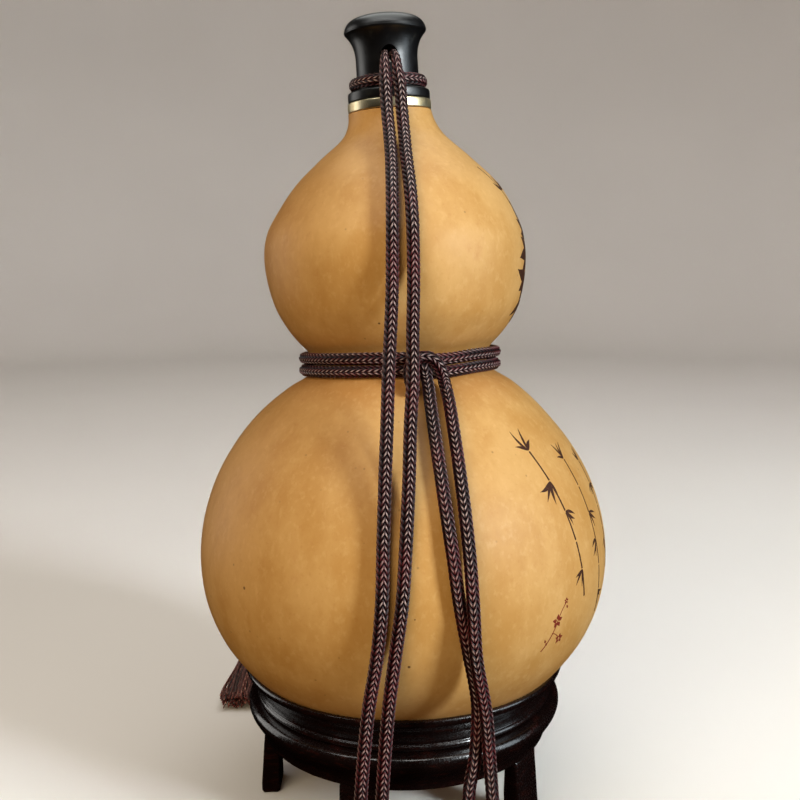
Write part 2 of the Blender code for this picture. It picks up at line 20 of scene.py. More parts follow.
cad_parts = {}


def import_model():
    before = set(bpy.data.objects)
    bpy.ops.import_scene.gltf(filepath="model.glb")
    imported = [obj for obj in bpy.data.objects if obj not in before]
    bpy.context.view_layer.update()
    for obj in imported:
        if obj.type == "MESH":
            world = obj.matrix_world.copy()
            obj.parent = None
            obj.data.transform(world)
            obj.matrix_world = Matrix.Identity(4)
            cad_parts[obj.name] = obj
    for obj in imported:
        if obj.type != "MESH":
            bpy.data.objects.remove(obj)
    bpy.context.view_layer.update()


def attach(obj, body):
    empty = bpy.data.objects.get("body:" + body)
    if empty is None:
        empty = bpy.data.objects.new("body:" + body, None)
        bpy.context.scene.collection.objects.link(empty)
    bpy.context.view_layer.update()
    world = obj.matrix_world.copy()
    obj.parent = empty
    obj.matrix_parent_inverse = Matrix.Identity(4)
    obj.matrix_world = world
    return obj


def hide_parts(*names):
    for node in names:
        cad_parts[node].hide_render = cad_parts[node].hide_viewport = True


LOG = logging.getLogger("gourd_flask")
BODY = "root"
Point = tuple[float, float, float]
Outline = Sequence[tuple[float, float]]
Colour = tuple[float, ...]
Sockets = dict[Any, Any]

CORD_DIAMETER = 0.0048
MOUTH_HEIGHT = 0.2822
MOUTH_SHIFT = -0.0035
MOUTH_RADIUS = 0.0163
WAIST_HEIGHT = 0.184
NECK_LEAN = math.radians(3.0)
NECK_FRAME = Matrix.Translation((MOUTH_SHIFT, 0.0, MOUTH_HEIGHT)) @ Matrix.Rotation(-NECK_LEAN, 4, "Y")


def metres(*points: tuple[float, ...]) -> tuple[Any, ...]:
    """Points written in tenths of a millimetre, in metres."""
    return tuple(tuple(length / 10000 for length in point) for point in points)


# Routes of the cords, as in the part's source, except that the inner strap's upper end and
# the hitch's right one go a little further, tucked out of sight

OUTER_STRAP_ROUTE = metres(
    (-54, -80, 3024), (-50, -136, 3022), (-51, -178, 2998), (-51, -197, 2950), (-48, -212, 2890),
    (-43, -240, 2800), (-35, -290, 2710), (-29, -362, 2630), (-26, -470, 2500), (-26, -526, 2395),
    (-27, -553, 2270), (-29, -585, 2140), (-36, -619, 2000), (-44, -655, 1860), (-50, -699, 1700),
    (-58, -750, 1520), (-66, -816, 1300), (-72, -857, 1120), (-90, -863, 940), (-122, -866, 745),
    (-145, -872, 520), (-160, -884, 300), (-176, -930, 125), (-195, -1045, 38), (-215, -1210, 29),
    (-205, -1390, 29), (-120, -1550, 29), (50, -1630, 29), (220, -1580, 29), (345, -1430, 29),
    (385, -1240, 29), (370, -1060, 36), (338, -935, 120), (314, -875, 280), (300, -850, 450),
    (293, -846, 545), (276, -856, 745), (243, -874, 940), (234, -860, 1110), (226, -825, 1250),
    (214, -768, 1390), (200, -687, 1525), (186, -602, 1640), (172, -518, 1745), (165, -468, 1784),
)
INNER_STRAP_ROUTE = metres(
    (-24, -80, 3024), (-18, -137, 3023), (-9, -178, 3000), (-3, -197, 2950), (6, -212, 2890),
    (12, -240, 2800), (19, -290, 2710), (25, -362, 2630), (38, -470, 2500), (44, -526, 2395),
    (46, -553, 2270), (45, -585, 2140), (41, -619, 2000), (40, -655, 1860), (30, -699, 1700),
    (23, -750, 1520), (10, -816, 1300), (-4, -858, 1120), (-29, -863, 940), (-54, -866, 745),
    (-73, -872, 520), (-85, -882, 300), (-94, -925, 126), (-104, -1030, 38), (-105, -1170, 29),
    (-85, -1310, 29), (-15, -1420, 29), (85, -1460, 29), (185, -1415, 29), (245, -1300, 29),
    (262, -1150, 29), (255, -1010, 40), (236, -905, 120), (222, -848, 280), (224, -828, 440),
    (243, -822, 545), (252, -810, 745), (220, -826, 940), (190, -834, 1110), (170, -818, 1260),
    (150, -766, 1400), (132, -694, 1530), (117, -608, 1640), (104, -520, 1745), (98, -466, 1800),
    (92, -437, 1832), (88, -433, 1858), (86, -431, 1884),
)
OUTER_TAIL_ROUTE = metres(
    (-41, 80, 3024), (-46, 138, 3023), (-36, 180, 2997), (-28, 200, 2950), (-24, 215, 2890),
    (-20, 245, 2800), (-14, 295, 2710), (-10, 366, 2630), (-4, 474, 2500), (-2, 529, 2395),
    (-2, 555, 2270), (-2, 585, 2140), (-4, 619, 2000), (-6, 655, 1860), (-10, 699, 1700),
    (-16, 750, 1520), (-24, 816, 1300), (-32, 858, 1120), (-44, 863, 940), (-60, 868, 740),
    (-76, 880, 520), (-96, 900, 310), (-126, 955, 135), (-180, 1070, 42), (-260, 1210, 29),
    (-360, 1375, 29), (-475, 1535, 29), (-600, 1650, 29), (-730, 1680, 29), (-830, 1625, 32),
    (-880, 1535, 44), (-884, 1470, 54),
)
INNER_TAIL_ROUTE = metres(
    (-71, 80, 3024), (-77, 136, 3022), (-81, 180, 2996), (-80, 200, 2950), (-78, 215, 2890),
    (-74, 245, 2800), (-68, 295, 2710), (-64, 366, 2630), (-58, 472, 2500), (-56, 528, 2395),
    (-56, 554, 2270), (-57, 585, 2140), (-60, 619, 2000), (-64, 655, 1860), (-70, 699, 1700),
    (-80, 750, 1520), (-90, 816, 1300), (-100, 857, 1120), (-110, 863, 940), (-125, 868, 740),
    (-142, 880, 520), (-164, 895, 310), (-196, 940, 135), (-248, 1045, 42), (-320, 1175, 29),
    (-415, 1325, 29), (-515, 1460, 29), (-615, 1555, 29), (-705, 1590, 29), (-785, 1565, 34),
    (-825, 1510, 46), (-832, 1468, 54),
)
HITCH_ROUTE = metres(
    (46, -482, 1780), (36, -460, 1810), (30, -447, 1848), (42, -443, 1886), (75, -441, 1905),
    (108, -438, 1902), (134, -432, 1877), (150, -426, 1842), (157, -432, 1816), (163, -460, 1791),
    (166, -476, 1777),
)


class Slot(Enum):
    """The record's material slots."""

    RIND = "gourd_rind"
    BRASS = "brass"
    BLACK = "black_lacquer"
    STAND = "stand_lacquer"
    CORD = "braided_cord"
    THREAD = "tassel_thread"


class FarEnd(Enum):
    """What a free cord's far end is."""

    OBJECT = "object"
    FITTING = "fitting"


def tint(red: float, green: float, blue: float) -> Colour:
    """A linear colour from display values of 0 to 255.

    Args:
        red: the display red.
        green: the display green.
        blue: the display blue.

    Returns:
        The linear red, green, blue and an alpha of 1.
    """
    shares = [shown / 255 for shown in (red, green, blue)]
    linear = [s / 12.92 if s <= 10 / 255 else ((s + 0.055) / 1.055) ** 2.4 for s in shares]
    return (*linear, 1.0)


def math_node(operation: str, swapped: bool = False) -> Callable[..., Value]:
    """Make a method that adds one Math node.

    Args:
        operation: the node's operation.
        swapped: whether the value stands last, as after a number on the left.

    Returns:
        The method, which takes the other value or number where there is one.
    """
    def method(value: Value, *others: Any) -> Value:
        """Add the node, with the value and the others as its inputs."""
        inputs = (*others, value) if swapped else (value, *others)
        return value.shade.value("ShaderNodeMath", {"operation": operation}, dict(enumerate(inputs)))

    return method


class Value:
    """A shader socket that carries a number, with arithmetic that adds Math nodes.

    fraction is what is left over the whole number, sine takes radians, pingpong goes up to
    a span and back down again, and largest is the larger of two.
    """

    __add__ = __radd__ = math_node("ADD")
    __sub__ = math_node("SUBTRACT")
    __rsub__ = math_node("SUBTRACT", swapped=True)
    __mul__ = __rmul__ = math_node("MULTIPLY")
    __abs__ = math_node("ABSOLUTE")
    fraction = math_node("FRACT")
    sine = math_node("SINE")
    pingpong = math_node("PINGPONG")
    largest = math_node("MAXIMUM")

    def __init__(self, shade: Shade, socket: bpy.types.NodeSocket) -> None:
        """Wrap a socket of a material that is being built."""
        self.shade = shade
        self.socket = socket

    def ramp(self, low: float, high: float, at_low: float = 0.0, at_high: float = 1.0) -> Value:
        """Ease smoothly from one value to another.

        Args:
            low: the value at which the ease starts.
            high: the value at which it ends.
            at_low: the result up to low.
            at_high: the result from high on.

        Returns:
            The eased value.
        """
        limits = {0: self, 1: low, 2: high, 3: at_low, 4: at_high}
        return self.shade.value("ShaderNodeMapRange", {"interpolation_type": "SMOOTHSTEP"}, limits)


class Shade:
    """One material's nodes, added and wired by short calls."""

    def __init__(self, name: str, **fixed: Any) -> None:
        """Start a material.

        Args:
            name: the material's name.
            fixed: values of the shader's sockets that are the same all over, with an
                underscore for each space in the socket's name.
        """
        self.material = bpy.data.materials.new(name)
        self.material.use_nodes = True
        self.tree = self.material.node_tree
        self.shader = self.tree.nodes["Principled BSDF"]
        for key, value in fixed.items():
            self.shader.inputs[key.replace("_", " ")].default_value = value

    def node(self, kind: str, settings: dict[str, Any], sockets: Sockets) -> bpy.types.Node:
        """Add any node.

        Args:
            kind: the node's type.
            settings: its properties, set first.
            sockets: a value or a link for each input, by name or number.

        Returns:
            The new node.
        """
        made = self.tree.nodes.new(kind)
        for key, value in settings.items():
            setattr(made, key, value)
        for key, value in sockets.items():
            if isinstance(value, Value):
                value = value.socket
            if isinstance(value, bpy.types.NodeSocket):
                self.tree.links.new(value, made.inputs[key])
            else:
                made.inputs[key].default_value = value
        return made

    def value(self, kind: str, settings: dict[str, Any], sockets: Sockets, output: int = 0) -> Value:
        """Add a node and take one of its outputs as a value."""
        return Value(self, self.node(kind, settings, sockets).outputs[output])

    def place(self) -> bpy.types.NodeSocket:
        """The point on the piece, in metres."""
        return self.node("ShaderNodeTexCoord", {}, {}).outputs["Object"]

    def axes(self, vector: bpy.types.NodeSocket) -> tuple[Value, Value, Value]:
        """The three numbers of a vector."""
        split = self.node("ShaderNodeSeparateXYZ", {}, {0: vector})
        return tuple(Value(self, output) for output in split.outputs)

    def moved(self, vector: Any, scale: Point, shift: Point = (0.0, 0.0, 0.0)) -> bpy.types.NodeSocket:
        """A vector scaled and shifted.

        Args:
            vector: the vector's socket.
            scale: the factor for each axis.
            shift: what is added after the scale.

        Returns:
            The new vector's socket.
        """
        return self.node("ShaderNodeMapping", {}, {0: vector, "Location": shift, "Scale": scale}).outputs[0]

    def noise(self, vector: Any, scale: float, detail: float = 3.0, roughness: float = 0.5) -> Value:
        """Soft noise from 0 to 1.

        Args:
            vector: where it is read.
            scale: how many blobs a metre.
            detail: how many finer layers it has.
            roughness: how strong they are.

        Returns:
            The noise.
        """
        sockets = {"Vector": vector, "Scale": scale, "Detail": detail, "Roughness": roughness}
        return self.value("ShaderNodeTexNoise", {}, sockets)

    def cells(self, vector: Any, scale: float) -> tuple[Value, Value]:
        """Scattered cells.

        Args:
            vector: where they are read.
            scale: how many cells a metre.

        Returns:
            The distance from the nearest cell's middle, and a random number of that cell.
        """
        made = self.node("ShaderNodeTexVoronoi", {}, {"Vector": vector, "Scale": scale})
        red = self.node("ShaderNodeSeparateColor", {}, {0: made.outputs["Color"]}).outputs[0]
        return Value(self, made.outputs["Distance"]), Value(self, red)

    def away_from(self, vector: Any, point: Point) -> Value:
        """How far a vector is from one point."""
        return self.value("ShaderNodeVectorMath", {"operation": "DISTANCE"}, {0: vector, 1: point}, 1)

    def mixed(self, share: Any, first: Any, second: Any) -> bpy.types.NodeSocket:
        """Mix two colours, the given share of it the second one."""
        return self.node("ShaderNodeMix", {"data_type": "RGBA"}, {0: share, 6: first, 7: second}).outputs[2]

    def raised(self, height: Value, distance: float, strength: float = 1.0) -> bpy.types.NodeSocket:
        """A bump, its height's unit a given distance."""
        sockets = {"Strength": strength, "Distance": distance, "Height": height}
        return self.node("ShaderNodeBump", {}, sockets).outputs[0]

    def dress(self, **inputs: Any) -> bpy.types.Material:
        """Link what changes over the surface to the shader.

        Args:
            inputs: a socket or value for each input, with an underscore for each space.

        Returns:
            The finished material.
        """
        for key, value in inputs.items():
            socket = value.socket if isinstance(value, Value) else value
            self.tree.links.new(socket, self.shader.inputs[key.replace("_", " ")])
        return self.material


@dataclass(frozen=True)
class Rind:
    """The gourd's waxed, tanned rind."""

    light: Colour = tint(214, 171, 107)
    middle: Colour = tint(196, 148, 81)
    deep: Colour = tint(172, 102, 42)
    pale: Colour = tint(232, 196, 138)
    freckle: Colour = tint(66, 36, 18)
    roughness: float = 0.55
    # Painted shade: how far the rind is darkened on each side of the waist's crease.
    painted_waist_shade: float = 0.016
    # Painted shade: the heights over which the rind darkens towards its foot.
    painted_foot_shade: tuple[float, float] = (0.040, 0.085)
    dots: tuple[tuple[Point, float], ...] = (
        ((-0.0078, -0.0459, 0.2029), 0.0007),
        ((-0.0185, -0.0325, 0.1794), 0.0005),
        ((0.0018, -0.0804, 0.0880), 0.0007),
        ((0.0039, -0.0829, 0.1058), 0.0005),
        ((0.0410, -0.0504, 0.1554), 0.0005),
    )

    def material(self) -> bpy.types.Material:
        """The rind's material.

        Returns:
            Soft mottling, painted shade in the waist's crease and towards the foot, a few freckles and a
            fine grain under wax.
        """
        shade = Shade("waxed_rind", Coat_Weight=0.06, Coat_Roughness=0.38, Specular_IOR_Level=0.22)
        place = shade.place()
        _, _, z = shade.axes(place)
        broad = shade.noise(place, 22.0, 4.0, 0.55)
        cloudy = shade.noise(shade.moved(place, (1.0, 1.0, 0.55)), 75.0, 5.0, 0.62)
        flecks = shade.noise(shade.moved(place, (1.0, 1.0, 0.7), (0.4, 0.1, 0.7)), 430.0, 3.0, 0.6)
        fine = shade.noise(place, 620.0, 3.0, 0.6)
        mottle = (broad * 0.5 + cloudy * 0.5).ramp(0.36, 0.64)
        skin = shade.mixed(mottle, self.middle, self.light)
        # Painted shade: the rind is darkened in the waist's crease and towards the foot, where shade falls.
        waist = abs(z - WAIST_HEIGHT).ramp(0.0, self.painted_waist_shade, 1.0, 0.0)
        foot = z.ramp(*self.painted_foot_shade, 1.0, 0.0)
        skin = shade.mixed((waist * 0.45).largest(foot * 0.5), skin, self.deep)
        skin = shade.mixed(cloudy.ramp(0.60, 0.78) * 0.35, skin, self.deep)
        skin = shade.mixed(flecks.ramp(0.50, 0.72) * 0.19, skin, self.pale)
        skin = shade.mixed(fine.ramp(0.55, 0.75) * 0.14, skin, self.deep)
        distance, chance = shade.cells(place, 70.0)
        spots = distance.ramp(0.02, 0.06, 1.0, 0.0) * chance.ramp(0.93, 0.97)
        aside = shade.moved(place, (1.0, 1.0, 1.0), (0.31, 0.17, 0.05))
        small_distance, small_chance = shade.cells(aside, 330.0)
        specks = small_distance.ramp(0.06, 0.20, 1.0, 0.0) * small_chance.ramp(0.93, 0.99)
        marks = (spots * 0.8).largest(specks * 0.4)
        for point, size in self.dots:
            marks = marks.largest(shade.away_from(place, point).ramp(size * 0.4, size, 0.9, 0.0))
        skin = shade.mixed(marks, skin, self.freckle)
        rough = self.roughness + (cloudy - 0.5) * 0.22 + (fine - 0.5) * 0.14 - flecks.ramp(0.5, 0.7) * 0.05
        height = broad * 0.5 + cloudy * 0.2 + flecks * 0.05 + fine * 0.02
        return shade.dress(Base_Color=skin, Roughness=rough, Normal=shade.raised(height, 0.0008, 0.5))


@dataclass(frozen=True)
class Brass:
    """The rim's polished brass, a little tarnished."""

    bright: Colour = tint(240, 224, 184)
    dull: Colour = tint(190, 162, 110)

    def material(self) -> bpy.types.Material:
        """The ring's material.

        Returns:
            Brass with turning lines and patches of tarnish.
        """
        shade = Shade("aged_brass", Metallic=1.0)
        place = shade.place()
        patches = shade.noise(place, 260.0, 4.0, 0.6)
        lines = shade.noise(shade.moved(place, (0.02, 0.02, 1.0)), 5200.0, 1.0)
        colour = shade.mixed(patches.ramp(0.42, 0.70) * 0.75, self.bright, self.dull)
        rough = 0.32 + patches.ramp(0.35, 0.75) * 0.20
        return shade.dress(Base_Color=colour, Roughness=rough, Normal=shade.raised(lines, 0.00004, 0.4))


@dataclass(frozen=True)
class BlackLacquer:
    """The stopper's and collar's satin black."""

    black: Colour = tint(11, 10, 11)
    worn: Colour = tint(52, 52, 48)

    def material(self) -> bpy.types.Material:
        """The black pieces' material.

        Returns:
            Satin black with turning marks, fine scratches and greyer worn patches.
        """
        shade = Shade("satin_black", Coat_Weight=0.12, Coat_Roughness=0.30)
        place = shade.place()
        patches = shade.noise(place, 210.0, 4.0, 0.6)
        turned = shade.noise(shade.moved(place, (0.03, 0.03, 1.0)), 2600.0, 2.0)
        grains = shade.noise(place, 2400.0, 2.0)
        colour = shade.mixed(patches.ramp(0.55, 0.80) * 0.6, self.black, self.worn)
        rough = 0.37 + (patches - 0.5) * 0.26 + (grains - 0.5) * 0.10
        height = turned * 0.6 + grains * 0.4
        return shade.dress(Base_Color=colour, Roughness=rough, Normal=shade.raised(height, 0.00006, 0.5))


@dataclass(frozen=True)
class StandLacquer:
    """The stand's dark red-brown lacquer over wood."""

    dark: Colour = tint(17, 8, 7)
    warm: Colour = tint(58, 21, 15)

    def material(self) -> bpy.types.Material:
        """The stand's material.

        Returns:
            Glossy lacquer with faint grain, fine pits in its gloss and redder thin places.
        """
        shade = Shade("stand_lacquer", Coat_Weight=0.5, Coat_Roughness=0.08, Specular_IOR_Level=0.4)
        place = shade.place()
        grain = shade.noise(shade.moved(place, (1.0, 1.0, 5.0)), 150.0, 5.0, 0.65)
        ripple = shade.noise(place, 130.0, 3.0, 0.55)
        pits = shade.noise(place, 1500.0, 3.0, 0.6)
        colour = shade.mixed(grain.ramp(0.50, 0.78) * 0.5, self.dark, self.warm)
        rough = 0.20 + (ripple - 0.5) * 0.16 + pits.ramp(0.46, 0.70) * 0.22
        height = ripple * 0.6 + grain * 0.2 + pits * 0.20
        return shade.dress(Base_Color=colour, Roughness=rough, Normal=shade.raised(height, 0.0009, 0.35))


@dataclass(frozen=True)
class Braid:
    """The cord's yarn, read from the braid's own columns and stitches."""

    yarn: Colour = tint(54, 19, 20)
    red: Colour = tint(94, 33, 40)
    # Painted highlight: the pale colour of the glints on the stitches' crests.
    pale: Colour = tint(206, 186, 184)
    # Painted shade: the near-black colour of the gaps between stitches.
    gap: Colour = tint(7, 3, 4)

    def material(self) -> bpy.types.Material:
        """The braid's material.

        Returns:
            Stitches of fine fibres, with painted highlights on their crests and painted shade in their gaps.
        """
        shade = Shade("dark_red_braid", Specular_IOR_Level=0.28)
        weave = shade.node("ShaderNodeUVMap", {"uv_map": "weave"}, {}).outputs[0]
        column, stitch, _ = shade.axes(weave)
        crest = (stitch.fraction() * math.pi).sine()
        reach = column.pingpong(1.0)
        fibres = shade.noise(shade.moved(weave, (0.7, 9.0, 1.0)), 1.6, 2.0)
        drift = shade.noise(weave, 0.13, 3.0)
        # Painted shade: the gaps between stitches and the columns' edges are painted near black.
        body = crest.ramp(0.30, 0.86) * reach.ramp(0.62, 1.0, 1.0, 0.10) * reach.ramp(0.0, 0.10, 0.2, 1.0)
        colour = shade.mixed(body, self.gap, shade.mixed(drift.ramp(0.40, 0.66), self.yarn, self.red))
        # Painted highlight: pale glints painted along the middle of each stitch's crest.
        stroke = crest.ramp(0.76, 1.0) * reach.ramp(0.07, 0.22) * reach.ramp(0.30, 0.66, 1.0, 0.0)
        lights = stroke * fibres.ramp(0.30, 0.62, 0.35, 1.0) * drift.ramp(0.3, 0.7, 1.0, 0.55)
        colour = shade.mixed(lights, colour, self.pale)
        height = crest * 0.5 + fibres * 0.5
        rough = 0.54 - fibres * 0.14
        return shade.dress(Base_Color=colour, Roughness=rough, Normal=shade.raised(height, 0.00018, 0.7))


@dataclass(frozen=True)
class Thread:
    """The tassel's loose threads."""

    dark: Colour = tint(38, 14, 16)
    red: Colour = tint(130, 44, 42)
    pale: Colour = tint(208, 154, 144)

    def material(self) -> bpy.types.Material:
        """The threads' material.

        Returns:
            A different red brown for each thread, with twisted strands along it.
        """
        shade = Shade("tassel_threads", Sheen_Weight=0.3, Sheen_Roughness=0.4)
        twist = shade.node("ShaderNodeUVMap", {"uv_map": "weave"}, {}).outputs[0]
        number, along, _ = shade.axes(twist)
        pick = shade.noise(shade.moved(twist, (1.0, 0.0, 0.0)), 0.73, 0.0)
        strands = (along * 62.0 + number * 6.0).sine()
        colour = shade.mixed(pick.ramp(0.36, 0.60), self.dark, self.red)
        colour = shade.mixed(strands.ramp(0.2, 0.95) * pick.ramp(0.45, 0.66), colour, self.pale)
        rough = 0.6 + strands * 0.08
        return shade.dress(Base_Color=colour, Roughness=rough, Normal=shade.raised(strands, 0.00008, 0.6))


@dataclass(frozen=True)
class Ink:
    """A stain that is drawn on the rind."""

    name: str
    full: Colour
    thin: Colour

    def material(self) -> bpy.types.Material:
        """The stain's material.

        Returns:
            A stain with thinner places where the rind shows through.
        """
        shade = Shade(self.name, Specular_IOR_Level=0.2)
        place = shade.place()
        thin = shade.noise(place, 900.0, 4.0, 0.65)
        colour = shade.mixed(thin.ramp(0.52, 0.74) * 0.6, self.full, self.thin)
        return shade.dress(Base_Color=colour, Roughness=0.60 + thin * 0.12)


@dataclass(frozen=True)
class PaleGround:
    """The studio's plain pale floor."""

    colour: Colour = tint(198, 196, 192)
    clouded: Colour = tint(190, 188, 184)

    def material(self) -> bpy.types.Material:
        """The floor's material.

        Returns:
            A matt, plain pale surface.
        """
        shade = Shade("pale_ground", Roughness=0.85)
        cloud = shade.noise(shade.place(), 3.0, 2.0)
        return shade.dress(Base_Color=shade.mixed(cloud, self.colour, self.clouded))


def smooth_curve(points: Sequence[Any], per_span: int = 12, closed: bool = False) -> np.ndarray:
    """Points on a centripetal Catmull-Rom curve through the given ones.

    Args:
        points: what the curve goes through, in two or three dimensions.
        per_span: how many steps each span is cut into.
        closed: whether the curve comes back to its start.

    Returns:
        The curve's points, one to a row.
    """
    knots = np.array(points, dtype=float)
    if closed:
        knots = np.vstack([knots[-1], knots, knots[0], knots[1]])
    else:
        knots = np.vstack([2 * knots[0] - knots[1], knots, 2 * knots[-1] - knots[-2]])
    dense = [knots[1]]
    for p0, p1, p2, p3 in zip(knots, knots[1:], knots[2:], knots[3:]):
        t1 = math.sqrt(np.linalg.norm(p1 - p0))
        t2 = t1 + math.sqrt(np.linalg.norm(p2 - p1))
        t3 = t2 + math.sqrt(np.linalg.norm(p3 - p2))
        for t in np.linspace(t1, t2, per_span + 1)[1:]:
            a1 = (t1 - t) / t1 * p0 + t / t1 * p1
            a2 = (t2 - t) / (t2 - t1) * p1 + (t - t1) / (t2 - t1) * p2
            a3 = (t3 - t) / (t3 - t2) * p2 + (t - t2) / (t3 - t2) * p3
            b1 = (t2 - t) / t2 * a1 + t / t2 * a2
            b2 = (t3 - t) / (t3 - t1) * a2 + (t - t1) / (t3 - t1) * a3
            dense.append((t2 - t) / (t2 - t1) * b1 + (t - t1) / (t2 - t1) * b2)
    return np.array(dense[:-1] if closed else dense)


def evenly(points: np.ndarray, count: int) -> tuple[np.ndarray, float]:
    """Space points evenly along a line.

    Args:
        points: the line's own points.
        count: how many are wanted.

    Returns:
        The new points and the line's length.
    """
    travelled = np.concatenate([[0.0], np.cumsum(np.linalg.norm(np.diff(points, axis=0), axis=1))])
    stations = np.linspace(0.0, travelled[-1], count)
    even = np.stack([np.interp(stations, travelled, axis) for axis in points.T], axis=1)
    return even, float(travelled[-1])


def by_turn(outline: np.ndarray, count: int, turn_weight: float = 0.9) -> np.ndarray:
    """Pick points closer together where an outline turns more.

    Args:
        outline: the outline's own dense points.
        count: how many are wanted.
        turn_weight: how much the turns count against the length.

    Returns:
        The picked points.
    """
    steps = np.diff(outline, axis=0)
    lengths = np.linalg.norm(steps, axis=1)
    heading = np.unwrap(np.arctan2(steps[:, 1], steps[:, 0]))
    turns = np.abs(np.diff(heading, prepend=heading[0]))
    shares = lengths / lengths.sum() + turn_weight * turns / turns.sum()
    weight = np.concatenate([[0.0], np.cumsum(shares)])
    stations = np.linspace(0.0, weight[-1], count)
    return np.stack([np.interp(stations, weight, outline[:, axis]) for axis in range(2)], axis=1)


def carried_frames(points: np.ndarray, front: Point, closed: bool) -> tuple[np.ndarray, np.ndarray]:
    """Carry a direction along a line without twisting it.

    Args:
        points: the line's points.
        front: the direction at the start, roughly across the line.
        closed: whether the line comes back to its start.

    Returns:
        The carried direction and the one across it, for each point.
    """
    if closed:
        tangents = np.roll(points, -1, axis=0) - np.roll(points, 1, axis=0)
    else:
        tangents = np.gradient(points, axis=0)
    tangents /= np.linalg.norm(tangents, axis=1, keepdims=True)
    carried = np.empty_like(tangents)
    direction = np.array(front, dtype=float)
    for index, tangent in enumerate(tangents):
        direction = direction - tangent * direction.dot(tangent)
        direction /= np.linalg.norm(direction)
        carried[index] = direction
    return carried, np.cross(tangents, carried)


@dataclass(frozen=True)
class TiltedWaist:
    """How the waist and the cords in it lie higher at the front and on the right."""

    height: float = WAIST_HEIGHT
    rise: float = 0.0006
    front_rise: float = 0.0028
    right_rise: float = 0.0011
    dip: float = 0.0012
    dip_azimuth: float = math.radians(24)
    dip_width: float = math.radians(17)
    level: float = 0.006
    fade: float = 0.021

    def lift(self, x: np.ndarray, y: np.ndarray, z: np.ndarray) -> np.ndarray:
        """How far points of a gourd with a level waist are lifted.

        Args:
            x: the points' places to the right.
            y: their places towards the back.
            z: their heights.

        Returns:
            The lift of each point.
        """
        azimuth = np.arctan2(x, -y)
        away = np.clip((np.abs(z - self.height) - self.level) / self.fade, 0, 1)
        tilt = self.rise + self.front_rise * np.cos(azimuth) + self.right_rise * np.sin(azimuth)
        dip = self.dip * np.exp(-(((azimuth - self.dip_azimuth) / self.dip_width) ** 2))
        return (tilt - dip) * (1 - away * away * (3 - 2 * away))


def linked(name: str, mesh: bpy.types.Mesh, finish: bpy.types.Material) -> bpy.types.Object:
    """Make a mesh an object of the scene.

    Args:
        name: the piece's name.
        mesh: its mesh, already in place.
        finish: its material.

    Returns:
        The object, at the origin.
    """
    mesh.materials.append(finish)
    item = bpy.data.objects.new(name, mesh)
    bpy.context.scene.collection.objects.link(item)
    return item


def spun(outline: Sequence[tuple[float, float]], steps: int, closed: bool = False) -> bmesh.types.BMesh:
    """Turn an outline once round the upright axis.

    Args:
        outline: its radii and heights.
        steps: how many steps the turn has.
        closed: whether the outline comes back to its start.

    Returns:
        The turned skin, its faces outwards.
    """
    bm = bmesh.new()
    verts = [bm.verts.new((max(radius, 0.0), 0.0, height)) for radius, height in outline]
    edges = [bm.edges.new(pair) for pair in zip(verts, verts[1:])]
    if closed:
        edges.append(bm.edges.new((verts[-1], verts[0])))
    whole = {"cent": (0, 0, 0), "axis": (0, 0, 1), "angle": math.tau, "use_merge": True}
    bmesh.ops.spin(bm, geom=verts + edges, steps=steps, **whole)
    bmesh.ops.remove_doubles(bm, verts=bm.verts, dist=1e-6)
    bmesh.ops.recalc_face_normals(bm, faces=bm.faces)
    return bm


def filled(bm: bmesh.types.BMesh) -> bmesh.types.BMesh:
    """Close a mesh where it is open.

    Args:
        bm: the mesh.

    Returns:
        The same mesh, its faces outwards.
    """
    bmesh.ops.holes_fill(bm, edges=[edge for edge in bm.edges if edge.is_boundary])
    bmesh.ops.recalc_face_normals(bm, faces=bm.faces)
    return bm


def new_points(made: dict[str, Any]) -> list[bmesh.types.BMVert]:
    """The points among what a bmesh operator has made."""
    return [item for item in made["geom"] if isinstance(item, bmesh.types.BMVert)]


def meshed(name: str, bm: bmesh.types.BMesh, sharp: float = 40.0) -> bpy.types.Mesh:
    """Turn a bmesh into a smooth mesh with its hard edges marked.

    Args:
        name: the mesh's name.
        bm: the bmesh, which is freed.
        sharp: the angle in degrees past which an edge stays hard.

    Returns:
        The mesh.
    """
    mesh = bpy.data.meshes.new(name)
    bm.to_mesh(mesh)
    bm.free()
    mesh.shade_smooth()
    mesh.set_sharp_from_angle(angle=math.radians(sharp))
    return mesh


def worn(item: bpy.types.Object, slot: Slot, *nodes: str) -> bpy.types.Object:
    """Let a finished piece ride on the part, with the CAD nodes that it stands for hidden.

    Args:
        item: the piece.
        slot: the record's slot that its finish comes from; not used.
        nodes: the CAD nodes that it stands for.

    Returns:
        The same piece.
    """
    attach(item, BODY)
    if nodes:
        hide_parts(*nodes)
    faces = len(item.data.polygons)
    LOG.info("%s: %d faces%s", item.name, faces, ", for " + ", ".join(nodes) if nodes else "")
    return item


@dataclass(frozen=True)
class Lamp:
    """A soft lamp with straight sides, aimed at the gourd.

    Its azimuth is in degrees from the front, more to the right, its elevation in degrees
    above the horizon, and its distance is from the place that it is aimed at.
    """

    name: str
    azimuth: float
    elevation: float
    distance: float
    width: float
    height: float
    watts: float
    colour: Point
    aim: Vector = Vector((0.0, 0.0, 0.17))

    def hung(self, diffuse: bool = True, glossy: bool = True) -> bpy.types.Object:
        """Hang the lamp.

        Args:
            diffuse: whether it lights matt surfaces.
            glossy: whether it shows in shiny ones.

        Returns:
            The lamp.
        """
        data = bpy.data.lights.new(self.name, "AREA")
        data.shape = "RECTANGLE"
        data.size, data.size_y = self.width, self.height
        data.energy = self.watts
        data.color = self.colour
        turn, rise = math.radians(self.azimuth), math.radians(self.elevation)
        back = Vector((math.sin(turn) * math.cos(rise), -math.cos(turn) * math.cos(rise), math.sin(rise)))
        item = bpy.data.objects.new(self.name, data)
        item.location = self.aim + back * self.distance
        item.rotation_euler = (-back).to_track_quat("-Z", "Y").to_euler()
        item.visible_diffuse = diffuse
        item.visible_glossy = glossy
        bpy.context.scene.collection.objects.link(item)
        return item


